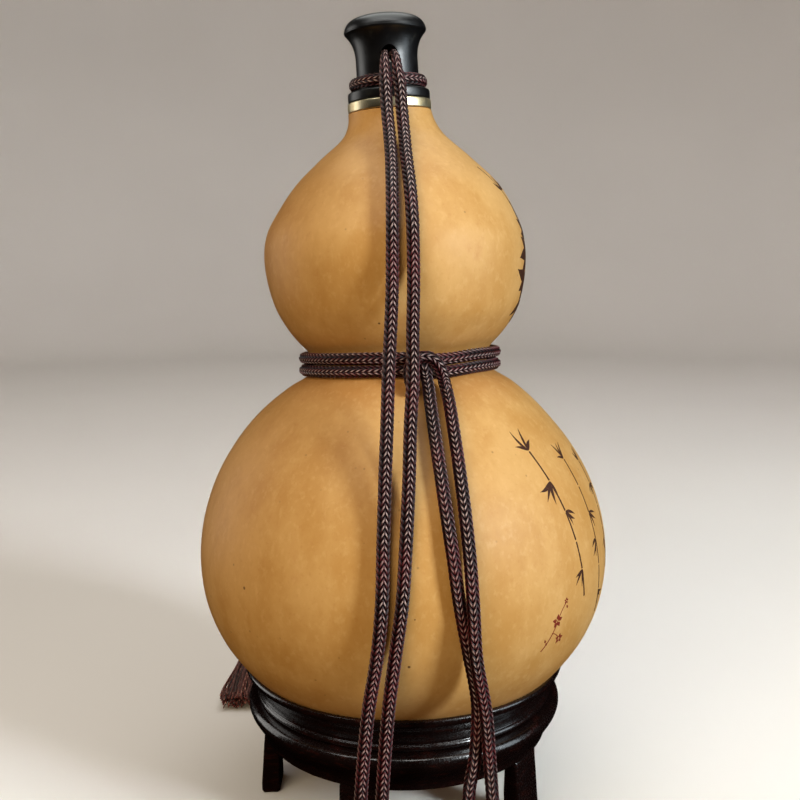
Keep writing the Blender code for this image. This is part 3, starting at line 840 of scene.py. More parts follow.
@dataclass
class Studio:
    """The camera, the plain pale ground and the soft lights."""

    camera_place: Point = (-0.0005, -0.400, 0.230)
    camera_pitch: float = 8.8
    camera_roll: float = -0.5
    focal_pixels: float = 986.0
    picture_width: float = 800.0
    sensor_width: float = 36.0
    floor_radius: float = 1.7
    wall_height: float = 2.4
    bend_radius: float = 0.8
    bend_steps: int = 16
    steps_round: int = 96
    key: Lamp = Lamp("key_light", 52.0, 18.5, 1.25, 0.28, 0.32, 14.6, (0.90, 0.97, 1.0))
    soft: tuple[Lamp, ...] = (
        Lamp("fill_light", -26.0, 28.0, 1.35, 1.00, 1.00, 12.2, (1.0, 0.82, 0.56)),
        Lamp("low_light", 60.0, -5.0, 1.2, 0.50, 0.50, 1.0, (1.0, 0.80, 0.56)),
    )
    sheen: tuple[Lamp, ...] = (
        Lamp("left_strip", -108.0, 8.0, 1.1, 0.60, 0.90, 3.4, (1.0, 0.98, 0.94)),
        Lamp("right_strip", 74.0, 6.0, 1.1, 0.34, 0.70, 3.0, (0.80, 0.92, 1.0)),
        Lamp("top_light", 0.0, 92.0, 1.0, 1.00, 1.40, 12.0, (0.97, 1.0, 0.96)),
        Lamp("front_strip", -6.0, 58.0, 1.1, 1.70, 0.16, 4.5, (1.0, 1.0, 0.98)),
    )
    overhead: Lamp = Lamp("ground_light", 0.0, 90.0, 2.6, 3.2, 3.2, 72.0, (1.0, 0.99, 0.97))
    room_colour: Colour = (1.0, 0.50, 0.18, 1.0)
    room_strength: float = 0.10

    def camera(self) -> None:
        """Put the camera where the photograph was taken from."""
        data = bpy.data.cameras.new("camera")
        data.sensor_width = self.sensor_width
        data.lens = self.focal_pixels * data.sensor_width / self.picture_width
        data.clip_start = 0.01
        data.clip_end = 50.0
        camera = bpy.data.objects.new("camera", data)
        tilt = Matrix.Rotation(math.radians(90.0 - self.camera_pitch), 4, "X")
        roll = Matrix.Rotation(math.radians(self.camera_roll), 4, "Z")
        camera.matrix_world = Matrix.Translation(self.camera_place) @ tilt @ roll
        bpy.context.scene.collection.objects.link(camera)
        bpy.context.scene.camera = camera

    def ground(self) -> bpy.types.Object:
        """Turn one pale sheet, a round floor that curves up into a wall on all sides.

        Returns:
            The sheet, which throws no light back on the object.
        """
        profile = [(0.0, 0.0)]
        for step in range(self.bend_steps + 1):
            angle = math.radians(90.0 * step / self.bend_steps)
            reach = self.floor_radius + self.bend_radius * math.sin(angle)
            profile.append((reach, self.bend_radius * (1 - math.cos(angle))))
        profile.append((self.floor_radius + self.bend_radius, self.wall_height))
        sheet = spun(profile, self.steps_round)
        ground = linked("ground", meshed("ground", sheet), PaleGround().material())
        ground.visible_diffuse = False
        ground.visible_glossy = False
        return ground

    def lights(self, ground: bpy.types.Object) -> None:
        """Light the object from the right front, with a softer light on the left.

        Args:
            ground: the pale sheet, which a lamp of its own keeps evenly lit.
        """
        self.key.hung()
        for lamp in self.soft:
            lamp.hung(glossy=False)
        for lamp in self.sheen:
            lamp.hung(diffuse=False)
        lit = bpy.data.collections.new("lit_by_ground_light")
        lit.objects.link(ground)
        self.overhead.hung().light_linking.receiver_collection = lit
        world = bpy.data.worlds.new("pale_room")
        world.use_nodes = True
        backdrop = world.node_tree.nodes["Background"]
        backdrop.inputs["Color"].default_value = self.room_colour
        backdrop.inputs["Strength"].default_value = self.room_strength
        world.cycles_visibility.glossy = False
        bpy.context.scene.world = world
        bpy.context.scene.view_settings.view_transform = "Standard"

    def build(self) -> None:
        """Set up the camera, the ground and the lights."""
        self.camera()
        self.lights(self.ground())
        LOG.info("studio: camera, ground and lights")


@dataclass
class BraidedCord:
    """A round braid of slanted stitches, laid along any line."""

    diameter: float = CORD_DIAMETER
    stitch_length: float = 0.00225
    columns: int = 8
    steps_per_column: int = 4
    steps_per_stitch: int = 6
    slant: float = 1.20
    gap_depth: float = 0.00050
    dive_depth: float = 0.00046
    apex_depth: float = 0.00014

    def sleeve(
        self,
        name: str,
        centres: np.ndarray,
        front: Point,
        scale: Callable[[np.ndarray], np.ndarray] | None = None,
        closed: bool = False,
        flat: tuple[float, float] = (1.0, 1.0),
        turn: float = 0.0,
    ) -> tuple[bpy.types.Mesh, np.ndarray, float]:
        """Lay the braid along a line.

        Args:
            name: the mesh's name.
            centres: the line's dense points.
            front: which way a column's point faces at the start.
            scale: the section's size for each distance along the line.
            closed: whether the line is a closed ring.
            flat: the section's size along the front direction and across it.
            turn: how far the columns are turned round the line, in radians.

        Returns:
            The mesh, its rings' middles and the line's length.
        """
        line = np.vstack([centres, centres[:1]]) if closed else centres
        _, length = evenly(line, 2)
        stitches = max(4, round(length / self.stitch_length))
        rings = stitches * self.steps_per_stitch
        middles, _ = evenly(line, rings + 1)
        if closed:
            middles = middles[:-1]
        out, over = carried_frames(middles, front, closed)
        if closed:
            middles, out, over = (np.vstack([item, item[:1]]) for item in (middles, out, over))
        sides = self.columns * self.steps_per_column

        bm = bmesh.new()
        bm.loops.layers.uv.new("weave")
        bmesh.ops.create_grid(bm, x_segments=sides, y_segments=rings, size=1.0, calc_uvs=True)
        mesh = bpy.data.meshes.new(name)
        bm.to_mesh(mesh)
        bm.free()
        flat_places = np.empty(len(mesh.vertices) * 3)
        mesh.vertices.foreach_get("co", flat_places)
        flat_places = flat_places.reshape(-1, 3)
        side = np.rint((flat_places[:, 0] + 1) / 2 * sides).astype(int)
        ring = np.rint((flat_places[:, 1] + 1) / 2 * rings).astype(int)

        column, step = np.divmod(side, self.steps_per_column)
        across = step / self.steps_per_column
        rise = np.where(column % 2 == 0, across, 1 - across)
        phase = (ring % self.steps_per_stitch) / self.steps_per_stitch
        gap = np.clip(np.abs(phase - 0.5) * 2, 0, 1) ** 2.2
        dive = np.abs(rise - 0.5) * 2
        dive = dive**2.2 * np.where(rise > 0.5, self.dive_depth, self.apex_depth)
        radius = self.diameter / 2 - self.gap_depth * gap - dive * (1 - 0.5 * gap)
        place = ring + (rise - 0.5) * self.slant * self.steps_per_stitch
        if closed:
            place = np.mod(place, rings)
        else:
            place = np.where((ring == 0) | (ring == rings), ring, np.clip(place, 0, rings))
        if scale is not None:
            radius = radius * scale(place / rings * length)
        low = np.clip(np.floor(place).astype(int), 0, rings - 1)
        share = (place - low)[:, None]
        angle = math.tau * side / sides + turn
        wide = (np.cos(angle) * radius * flat[0])[:, None]
        high = (np.sin(angle) * radius * flat[1])[:, None]
        centre, outward, overward = (
            item[low] * (1 - share) + item[low + 1] * share for item in (middles, out, over)
        )
        mesh.vertices.foreach_set("co", (centre + outward * wide + overward * high).ravel())

        weave = mesh.uv_layers["weave"]
        corners = np.empty(len(weave.data) * 2)
        weave.data.foreach_get("uv", corners)
        corners = corners.reshape(-1, 2) * (self.columns, stitches)
        weave.data.foreach_set("uv", corners.ravel())

        bm = bmesh.new()
        bm.from_mesh(mesh)
        bmesh.ops.remove_doubles(bm, verts=bm.verts, dist=2e-6)
        bpy.data.meshes.remove(mesh)
        return meshed(name, filled(bm), sharp=80.0), middles, length


@dataclass
class FreeCords:
    """The doubled strap down the front and the two tails down the back."""

    braid: BraidedCord
    finish: bpy.types.Material
    pinch: float = 0.56
    grows_from: float = 0.006
    full_at: float = 0.020

    def pinched(self, travelled: np.ndarray) -> np.ndarray:
        """The section's size, smaller where the cord comes out of the stopper's hole.

        Args:
            travelled: distances along the cord.

        Returns:
            The size for each distance.
        """
        share = np.clip((travelled - self.grows_from) / (self.full_at - self.grows_from), 0, 1)
        return self.pinch + (1 - self.pinch) * share

    def lay(
        self,
        node: str,
        route: Sequence[Point],
        front: Point,
    ) -> None:
        """Args:
            node: the CAD tube that it stands for.
            route: the points that it goes through.
            front: which way a column's point faces at its start.
        """
        name = node + "_braid"
        mesh, middles, length = self.braid.sleeve(name, smooth_curve(route), front, self.pinched)
        cord = worn(linked(name, mesh, self.finish), Slot.CORD, node)
        LOG.info("%s: %.3f m of cord", name, length)

    def build(self, tassel_pieces: Sequence[bpy.types.Object]) -> None:
        """Lay the four cords.

        Args:
            tassel_pieces: what hangs on the tails' far end; not used.
        """
        for node, route in (("strap_outer", OUTER_STRAP_ROUTE), ("strap_inner", INNER_STRAP_ROUTE)):
            self.lay(node, route, (0.0, -1.0, 0.0))
        for node, route in (("tail_outer", OUTER_TAIL_ROUTE), ("tail_inner", INNER_TAIL_ROUTE)):
            self.lay(node, route, (0.0, 1.0, 0.0))


@dataclass
class BoundCords:
    """The turn of cord at the stopper's foot, the two turns in the waist and the hitch."""

    braid: BraidedCord
    finish: bpy.types.Material
    neck_radius: float = 0.0139
    neck_height: float = 0.0109
    neck_flat: tuple[float, float] = (0.62, 0.94)
    waist_radius: float = 0.0387
    waist_shift: float = -0.0004
    waist_spacing: float = 0.0049
    waist_flat: tuple[float, float] = (0.97, 0.97)
    points_round: int = 240
    tilted: TiltedWaist = TiltedWaist()

    def ring(self, name: str, node: str, radius: float, height: float, flat: tuple[float, float],
             place: Matrix, turn: float) -> bpy.types.Object:
        """Lay one closed turn of braid.

        Args:
            name: the piece's name.
            node: the CAD ring that it stands for.
            radius: the radius of the turn's middle line.
            height: its height in its own place.
            flat: its section's size outwards and upwards.
            place: where the ring's own axis stands.
            turn: how far its columns are turned.

        Returns:
            The turn.
        """
        angles = np.arange(self.points_round) / self.points_round * math.tau
        x, y = radius * np.cos(angles), radius * np.sin(angles)
        circle = np.stack([x, y, height + self.tilted.lift(x, y, np.full_like(angles, height))], axis=1)
        mesh, _, _ = self.braid.sleeve(name, circle, (1.0, 0.0, 0.0), closed=True, flat=flat, turn=turn)
        mesh.transform(place)
        return worn(linked(name, mesh, self.finish), Slot.CORD, node)

    def build(self) -> None:
        """Lay the three turns and the hitch."""
        neck = (self.neck_radius, self.neck_height, self.neck_flat, NECK_FRAME)
        self.ring("neck_braid", "neck_cord", *neck, 0.0)
        waist = Matrix.Translation((self.waist_shift, 0.0, 0.0))
        for level, side, turn in (("lower", -1, 0.0), ("upper", 1, math.pi / 8)):
            height = self.tilted.height + side * self.waist_spacing / 2
            size = (self.waist_radius, height, self.waist_flat, waist)
            self.ring("waist_braid_" + level, "waist_cord_" + level, *size, turn)
        mesh, _, _ = self.braid.sleeve("waist_hitch", smooth_curve(HITCH_ROUTE), (0.0, -1.0, 0.0))
        worn(linked("waist_hitch", mesh, self.finish), Slot.CORD, "waist_knot")


@dataclass
class Gourd:
    """The grown body: belly, waist and crown, leaning a little, with its mouth cut."""

    outline: Outline = (
        *metres(
            (0, 270), (120, 282), (240, 316), (350, 372), (455, 447), (548, 525), (641, 600), (695, 660),
            (760, 760), (812, 900), (830, 1060), (812, 1220), (759, 1380), (678, 1520), (577, 1640),
            (459, 1740), (379, 1789), (357, 1812), (352, 1840), (357, 1868), (372, 1892), (406, 1929),
            (443, 1980), (491, 2080), (519, 2240), (508, 2350), (467, 2440), (403, 2540), (301, 2640),
            (196, 2735), (169, 2788),
        ),
        (MOUTH_RADIUS, MOUTH_HEIGHT),
    )
    lean: Outline = (
        *metres((0, 0), (1600, 0), (1840, -4), (2060, -13), (2320, -19), (2540, -8), (2680, -14)),
        (MOUTH_HEIGHT, MOUTH_SHIFT),
    )
    bend_start: float = 0.262
    bore_radius: float = 0.0081
    bore_depth: float = 0.016
    rings: int = 230
    steps_round: int = 224
    swell: float = 0.00022
    swell_low: float = 0.05
    swell_high: float = 0.268
    swell_fade: float = 0.03
    waist_calm: float = 0.02
    tilted: TiltedWaist = TiltedWaist()

    def settled(self, places: np.ndarray) -> np.ndarray:
        """Lean the body and give it the slight swellings that it grew with.

        Args:
            places: points on the turned body.

        Returns:
            Their places on the grown body.
        """
        x, y, z = places.T
        angle = np.arctan2(y, x)
        reach = np.hypot(x, y)
        wave = np.sin(2 * angle + 0.7 + 9 * z) + 0.6 * np.sin(3 * angle + 21 * z)
        wave += 0.35 * np.sin(5 * angle - 34 * z)
        for room in (reach, self.swell_high - z, z - self.swell_low):
            wave = wave * np.clip(room / self.swell_fade, 0, 1)
        calm = np.clip(np.abs(z - WAIST_HEIGHT) / self.waist_calm, 0, 1)
        grown = 1 + self.swell * wave * calm / np.maximum(reach, 1e-4)
        z = z + self.tilted.lift(x, y, z)
        x, y = x * grown, y * grown
        share = np.clip((z - self.bend_start) / (MOUTH_HEIGHT - self.bend_start), 0, 1)
        tilt = -NECK_LEAN * share * share * (3 - 2 * share)
        heights = smooth_curve(self.lean)
        shift = np.interp(z, heights[:, 0], heights[:, 1])
        return np.stack([x * np.cos(tilt) + shift, y, z - x * np.sin(tilt)], axis=1)

    def on_skin(self, azimuth: np.ndarray, height: np.ndarray, lift: np.ndarray) -> np.ndarray:
        """Places on the rind.

        Args:
            azimuth: radians from the front, more to the right.
            height: metres above the table.
            lift: how far each stands off the rind.

        Returns:
            The places, one to a row.
        """
        dense = smooth_curve(self.outline)
        slope = np.gradient(dense[:, 0]) / np.gradient(dense[:, 1])
        radius = np.interp(height, dense[:, 1], dense[:, 0])
        lean = np.interp(height, dense[:, 1], slope)
        size = np.sqrt(1 + lean * lean)
        reach = radius + lift / size
        x, y = reach * np.sin(azimuth), -reach * np.cos(azimuth)
        return self.settled(np.stack([x, y, height - lift * lean / size], axis=1))

    def build(self, finish: bpy.types.Material) -> bpy.types.Object:
        """Grow the body and cut its mouth.

        Args:
            finish: the rind's material.

        Returns:
            The gourd.
        """
        outline = by_turn(smooth_curve(self.outline), self.rings)
        bm = spun(outline, self.steps_round)
        places = self.settled(np.array([vert.co for vert in bm.verts]))
        for vert, place in zip(bm.verts, places):
            vert.co = place
        rim = [edge for edge in bm.edges if edge.is_boundary]
        lip = bmesh.ops.extrude_edge_only(bm, edges=rim)
        inward = self.bore_radius / outline[-1][0]
        bmesh.ops.scale(bm, verts=new_points(lip), vec=(inward, inward, 1.0), space=NECK_FRAME.inverted())
        bore = [item for item in lip["geom"] if isinstance(item, bmesh.types.BMEdge)]
        wall = bmesh.ops.extrude_edge_only(bm, edges=bore)
        low = NECK_FRAME @ Vector((0.0, 0.0, -self.bore_depth))
        bmesh.ops.translate(bm, verts=new_points(wall), vec=low - NECK_FRAME.translation)
        mesh = meshed("gourd_rind_skin", filled(bm), sharp=50.0)
        return worn(linked("gourd_rind_skin", mesh, finish), Slot.RIND, "gourd")


@dataclass
class Sheet:
    """A sheet laid on the rind, on which a spray is drawn in thin strokes.

    A place on it is to the right and upwards of the sheet's own point, which an azimuth in
    degrees and a height give. Stems and fans have their places in tenths of a millimetre,
    and a leaf's direction is in degrees, 0 to the right and 90 upwards.
    """

    gourd: Gourd
    azimuth: float
    height: float
    seed: int
    lift: float = 0.00011
    depth: float = 0.00030
    steps: int = 12

    def __post_init__(self) -> None:
        """Start with nothing drawn and a seeded random draw."""
        self.bm = bmesh.new()
        self.draw = random.Random(self.seed)

    def stroke(self, start: Sequence[float], end: Sequence[float], width: float, bow: float = 0.0,
               leaf: bool = True) -> None:
        """Draw one stroke.

        Args:
            start: where the stroke starts on the sheet, in metres.
            end: where it ends.
            width: its full width.
            bow: how far its middle bends aside, as a share of its length.
            leaf: whether it swells and runs out to a point, or stays as wide as a stem.
        """
        made = bmesh.ops.create_grid(self.bm, x_segments=self.steps, y_segments=5, size=1.0)["verts"]
        along = np.array([(vert.co.x + 1) / 2 for vert in made])
        line = np.array([round((vert.co.y + 1) / 2 * 5) % 5 for vert in made])
        side = np.array([-1.0, -0.9, 0.0, 0.9, 1.0])[line]
        raised = np.array([-self.depth, self.lift * 0.7, self.lift, self.lift * 0.7, -self.depth])[line]
        first, last = np.array(start), np.array(end)
        reach = last - first
        middle = first + reach * 0.5 + np.array([-reach[1], reach[0]]) * bow * 2
        share = along[:, None]
        centre = (1 - share) ** 2 * first + 2 * share * (1 - share) * middle + share**2 * last
        heading = 2 * (1 - share) * (middle - first) + 2 * share * (last - middle)
        heading /= np.linalg.norm(heading, axis=1, keepdims=True)
        across = np.stack([-heading[:, 1], heading[:, 0]], axis=1)
        if leaf:
            swell = np.maximum(np.sin(math.pi * along**0.72), 0.06)
        else:
            swell = 0.86 + 0.14 * np.abs(along * 2 - 1) ** 4
        places = centre + across * (side * swell * width / 2)[:, None]
        height = self.height + places[:, 1]
        dense = smooth_curve(self.gourd.outline)
        azimuth = math.radians(self.azimuth) + places[:, 0] / np.interp(height, dense[:, 1], dense[:, 0])
        for vert, place in zip(made, self.gourd.on_skin(azimuth, height, raised)):
            vert.co = place
        bmesh.ops.remove_doubles(self.bm, verts=made, dist=1e-7)

    def stems(self, *stems: tuple[Any, ...]) -> None:
        """Draw stems, each given by its two ends, its width and its bow."""
        for start, end, width, bow in stems:
            self.stroke(*metres(start, end), width, bow, leaf=False)

    def fans(self, *fans: tuple[Any, ...]) -> None:
        """Draw fans of leaves.

        Args:
            fans: each one's knot, its leaves' directions, and about how long and wide they are.
        """
        for knot, turns, length, width in fans:
            x, y = metres(knot)[0]
            for turn in turns:
                way = math.radians(turn + self.draw.uniform(-6, 6))
                size = length * self.draw.uniform(0.78, 1.15)
                end = (x + size * math.cos(way), y + size * math.sin(way))
                broad = width * self.draw.uniform(0.8, 1.15)
                self.stroke((x, y), end, broad, self.draw.uniform(-0.10, 0.10))

    def piece(self, name: str, finish: bpy.types.Material) -> bpy.types.Object:
        """Close the strokes' ends and make them one piece."""
        return worn(linked(name, meshed(name, filled(self.bm)), finish), Slot.RIND)


@dataclass
class PaintedSprays:
    """Bamboo, a blossom twig and a spray of leaves, drawn on the rind."""

    gourd: Gourd
    brown: Ink = Ink("brown_stain", tint(62, 33, 19), tint(118, 72, 38))
    red: Ink = Ink("red_stain", tint(122, 44, 28), tint(170, 96, 58))

    def bamboo(self, finish: bpy.types.Material) -> None:
        """Draw three stems of bamboo on the belly's right.

        Args:
            finish: the stain.
        """
        sheet = Sheet(self.gourd, 57.0, 0.126, 5)
        for ends, width, parts in (
            (metres((-40, -250), (-130, 300)), 0.00095, 5),
            (metres((130, -370), (65, 240)), 0.00075, 6),
            (metres((270, -230), (240, 200)), 0.00060, 5),
        ):
            low, high = np.array(ends)
            line = [low + (high - low) * part / parts for part in range(parts + 1)]
            for first, last in zip(line, line[1:]):
                gap = (last - first) * 0.035
                sheet.stroke(first + gap, last - gap, width, 0.008, leaf=False)
        sheet.fans(
            ((-112, 190), (196, 222, 250, 278), 0.0078, 0.0015),
            ((-94, 80), (-14, -40, -66), 0.0070, 0.0014),
            ((-130, 300), (38, 74, 118, 156), 0.0062, 0.0012),
            ((-58, -140), (205, 232, 262), 0.0066, 0.0013),
            ((98, -65), (200, 228, 256), 0.0064, 0.0013),
            ((87, 38), (-10, -38, -64), 0.0062, 0.0012),
            ((65, 240), (50, 86, 124, 168), 0.0058, 0.0011),
            ((119, -270), (-20, -50, -80), 0.0058, 0.0012),
            ((262, -100), (205, 236, 264), 0.0056, 0.0011),
            ((245, 110), (-8, -36, 200, 230), 0.0054, 0.0011),
            ((240, 200), (60, 98, 140), 0.0050, 0.0010),
        )
        sheet.piece("painted_bamboo", finish)

    def blossom(self, finish: bpy.types.Material) -> None:
        """Draw a twig with two blossoms and buds low on the belly's right.

        Args:
            finish: the stain.
        """
        sheet = Sheet(self.gourd, 42.0, 0.094, 11)
        sheet.stems(
            ((-52, -86), (5, 10), 0.00050, -0.05),
            ((5, 10), (50, 85), 0.00042, 0.06),
            ((-12, -22), (30, -50), 0.00036, 0.08),
        )
        for (x, y), size in zip(metres((8, 22), (36, -56), (50, 90)), (0.0027, 0.0021, 0.0012)):
            for petal in range(5):
                way = math.radians(90 + petal * 72 + sheet.draw.uniform(-5, 5))
                reach = np.array([math.cos(way), math.sin(way)]) * size
                middle = np.array([x, y])
                bow = sheet.draw.uniform(-0.05, 0.05)
                sheet.stroke(middle + reach * 0.22, middle + reach, size * 0.62, bow)
        for x, y in metres((-40, -52), (-30, -66), (60, 60)):
            sheet.stroke((x, y), (x - 0.0006, y + 0.0013), 0.0009)
        sheet.piece("painted_blossom", finish)

    def leaf_spray(self, finish: bpy.types.Material) -> None:
        """Draw a spray of broad leaves round the crown's right side.

        Args:
            finish: the stain.
        """
        sheet = Sheet(self.gourd, 77.0, 0.222, 3)
        sheet.stems(((10, -180), (40, 180), 0.00060, 0.05), ((40, 180), (-90, 380), 0.00045, 0.06))
        sheet.fans(
            ((14, -130), (215, 250, 285, 325), 0.0120, 0.0046),
            ((22, -40), (165, 205, 245, 335, 15), 0.0135, 0.0050),
            ((30, 50), (140, 180, 220, 10, -28), 0.0140, 0.0050),
            ((40, 140), (110, 150, 190, 60, 18), 0.0110, 0.0040),
            ((-30, 300), (100, 160, 40), 0.0060, 0.0018),
        )
        sheet.piece("painted_leaf_spray", finish)

    def build(self) -> None:
        """Draw the three of them."""
        brown, red = self.brown.material(), self.red.material()
        self.bamboo(brown)
        self.blossom(red)
        self.leaf_spray(brown)


@dataclass
class TurnedPiece:
    """A piece turned on the lathe from its outline of radius and height."""

    name: str
    node: str
    outline: Outline
    slot: Slot
    steps_round: int = 160
    per_span: int = 5
    closed: bool = True
    place: Matrix = Matrix()

    def mesh(self) -> bpy.types.Mesh:
        """Turn the outline once round.

        Returns:
            The closed mesh, in place.
        """
        bm = spun(smooth_curve(self.outline, self.per_span, self.closed), self.steps_round, self.closed)
        bmesh.ops.transform(bm, matrix=self.place, verts=bm.verts)
        return meshed(self.name, bm)

    def build(self, finish: bpy.types.Material) -> bpy.types.Object:
        """Turn the piece and dress it.

        Args:
            finish: its material.

        Returns:
            The piece.
        """
        return worn(linked(self.name, self.mesh(), finish), self.slot, self.node)


@dataclass
class MouthFittings:
    """The brass ring on the rim, the black collar, and the stopper with its cross hole."""

    rim_radius: float = MOUTH_RADIUS
    bore_radius: float = 0.0082
    brass_low: float = 0.0003
    brass_high: float = 0.0039
    collar_low: float = 0.0042
    collar_high: float = 0.0083
    collar_radius: float = 0.0160
    edge: float = 0.0005
    brass_shoulder: Outline = ((0.0, 1.0), (0.25, 0.25), (1.0, 0.0))
    collar_shoulder: Outline = ((0.0, 2.2), (0.25, 1.5), (1.0, 1.0), (2.6, 0.25), (3.4, 0.0))
    hole_radius: float = 0.0032
    hole_height: float = 0.0203
    hole_turn: float = math.radians(6)
    hole_sides: int = 48
    drill_length: float = 0.06
    plug_radius: float = 0.0077
    plug_depth: float = 0.0115
    foot: float = 0.0086
    foot_radius: float = 0.0121

    def band(self, radius: float, low: float, high: float, shoulder: Outline) -> Outline:
        """Draw a band's outline round the bore.

        Args:
            radius: its outer radius.
            low: its foot's height.
            high: its top's height.
            shoulder: how far in and how far down the upper outer corner's points lie, each
                counted in soft edges.

        Returns:
            The outline.
        """
        soft, near = self.edge, self.edge / 4
        return (
            (self.bore_radius, low + near),
            (self.bore_radius + near, low),
            (radius - soft, low),
            (radius - near, low + near),
            (radius, low + soft),
            *((radius - inward * soft, high - down * soft) for inward, down in shoulder),
            (self.bore_radius + near, high),
            (self.bore_radius, high - near),
        )

    def rings(self, brass: bpy.types.Material, black: bpy.types.Material) -> None:
        """Turn the brass ring and the collar.

        Args:
            brass: the ring's material.
            black: the collar's material.
        """
        ring = self.band(self.rim_radius, self.brass_low, self.brass_high, self.brass_shoulder)
        TurnedPiece("brass_band", "brass_ring", ring, Slot.BRASS, place=NECK_FRAME).build(brass)
        collar = self.band(self.collar_radius, self.collar_low, self.collar_high, self.collar_shoulder)
        TurnedPiece("collar_ring", "collar", collar, Slot.BLACK, place=NECK_FRAME).build(black)

    def stopper(self, black: bpy.types.Material) -> None:
        """Turn the stopper and bore its hole for the cords.

        Args:
            black: its material.
        """
        near, bevel = 0.0001, 0.0008
        profile = (
            (0.0, -self.plug_depth),
            (self.plug_radius - bevel, -self.plug_depth),
            (self.plug_radius, -self.plug_depth + bevel),
            (self.plug_radius, self.foot - near),
            (self.plug_radius + near, self.foot),
            (self.foot_radius - near, self.foot),
            (self.foot_radius, self.foot + near),
            (self.foot_radius, 0.0150),
            (self.foot_radius, 0.0182),
            (self.foot_radius, 0.0212),
            *metres(
                (126, 243), (137, 271), (150, 290), (158, 299), (159.5, 303), (160, 304), (159.8, 305),
                (158, 314), (153, 326), (145, 337), (131, 347), (100, 357), (50, 364), (0, 367),
            ),
        )
        body = TurnedPiece("stopper_body", "stopper", profile, Slot.BLACK, closed=False, place=NECK_FRAME)
        item = linked(body.name, body.mesh(), black)
        bm = bmesh.new()
        across = Matrix.Rotation(self.hole_turn, 4, "Z") @ Matrix.Rotation(math.radians(90), 4, "X")
        seat = NECK_FRAME @ Matrix.Translation((0.0, 0.0, self.hole_height)) @ across
        size = {"radius1": self.hole_radius, "radius2": self.hole_radius, "depth": self.drill_length}
        bmesh.ops.create_cone(bm, cap_ends=True, segments=self.hole_sides, matrix=seat, **size)
        drill = linked("drill", meshed("drill", bm), black)
        cut = item.modifiers.new("cord_hole", "BOOLEAN")
        cut.operation = "DIFFERENCE"
        cut.solver = "EXACT"
        cut.object = drill
        graph = bpy.context.evaluated_depsgraph_get()
        bored = bpy.data.meshes.new_from_object(item.evaluated_get(graph))
        item.modifiers.clear()
        item.data = bored
        bored.set_sharp_from_angle(angle=math.radians(40))
        bpy.data.objects.remove(drill, do_unlink=True)
        worn(item, Slot.BLACK, "stopper")

    def build(self, brass: bpy.types.Material, black: bpy.types.Material) -> None:
        """Make the fittings.

        Args:
            brass: the ring's material.
            black: the collar's and the stopper's material.
        """
        self.rings(brass, black)
        self.stopper(black)


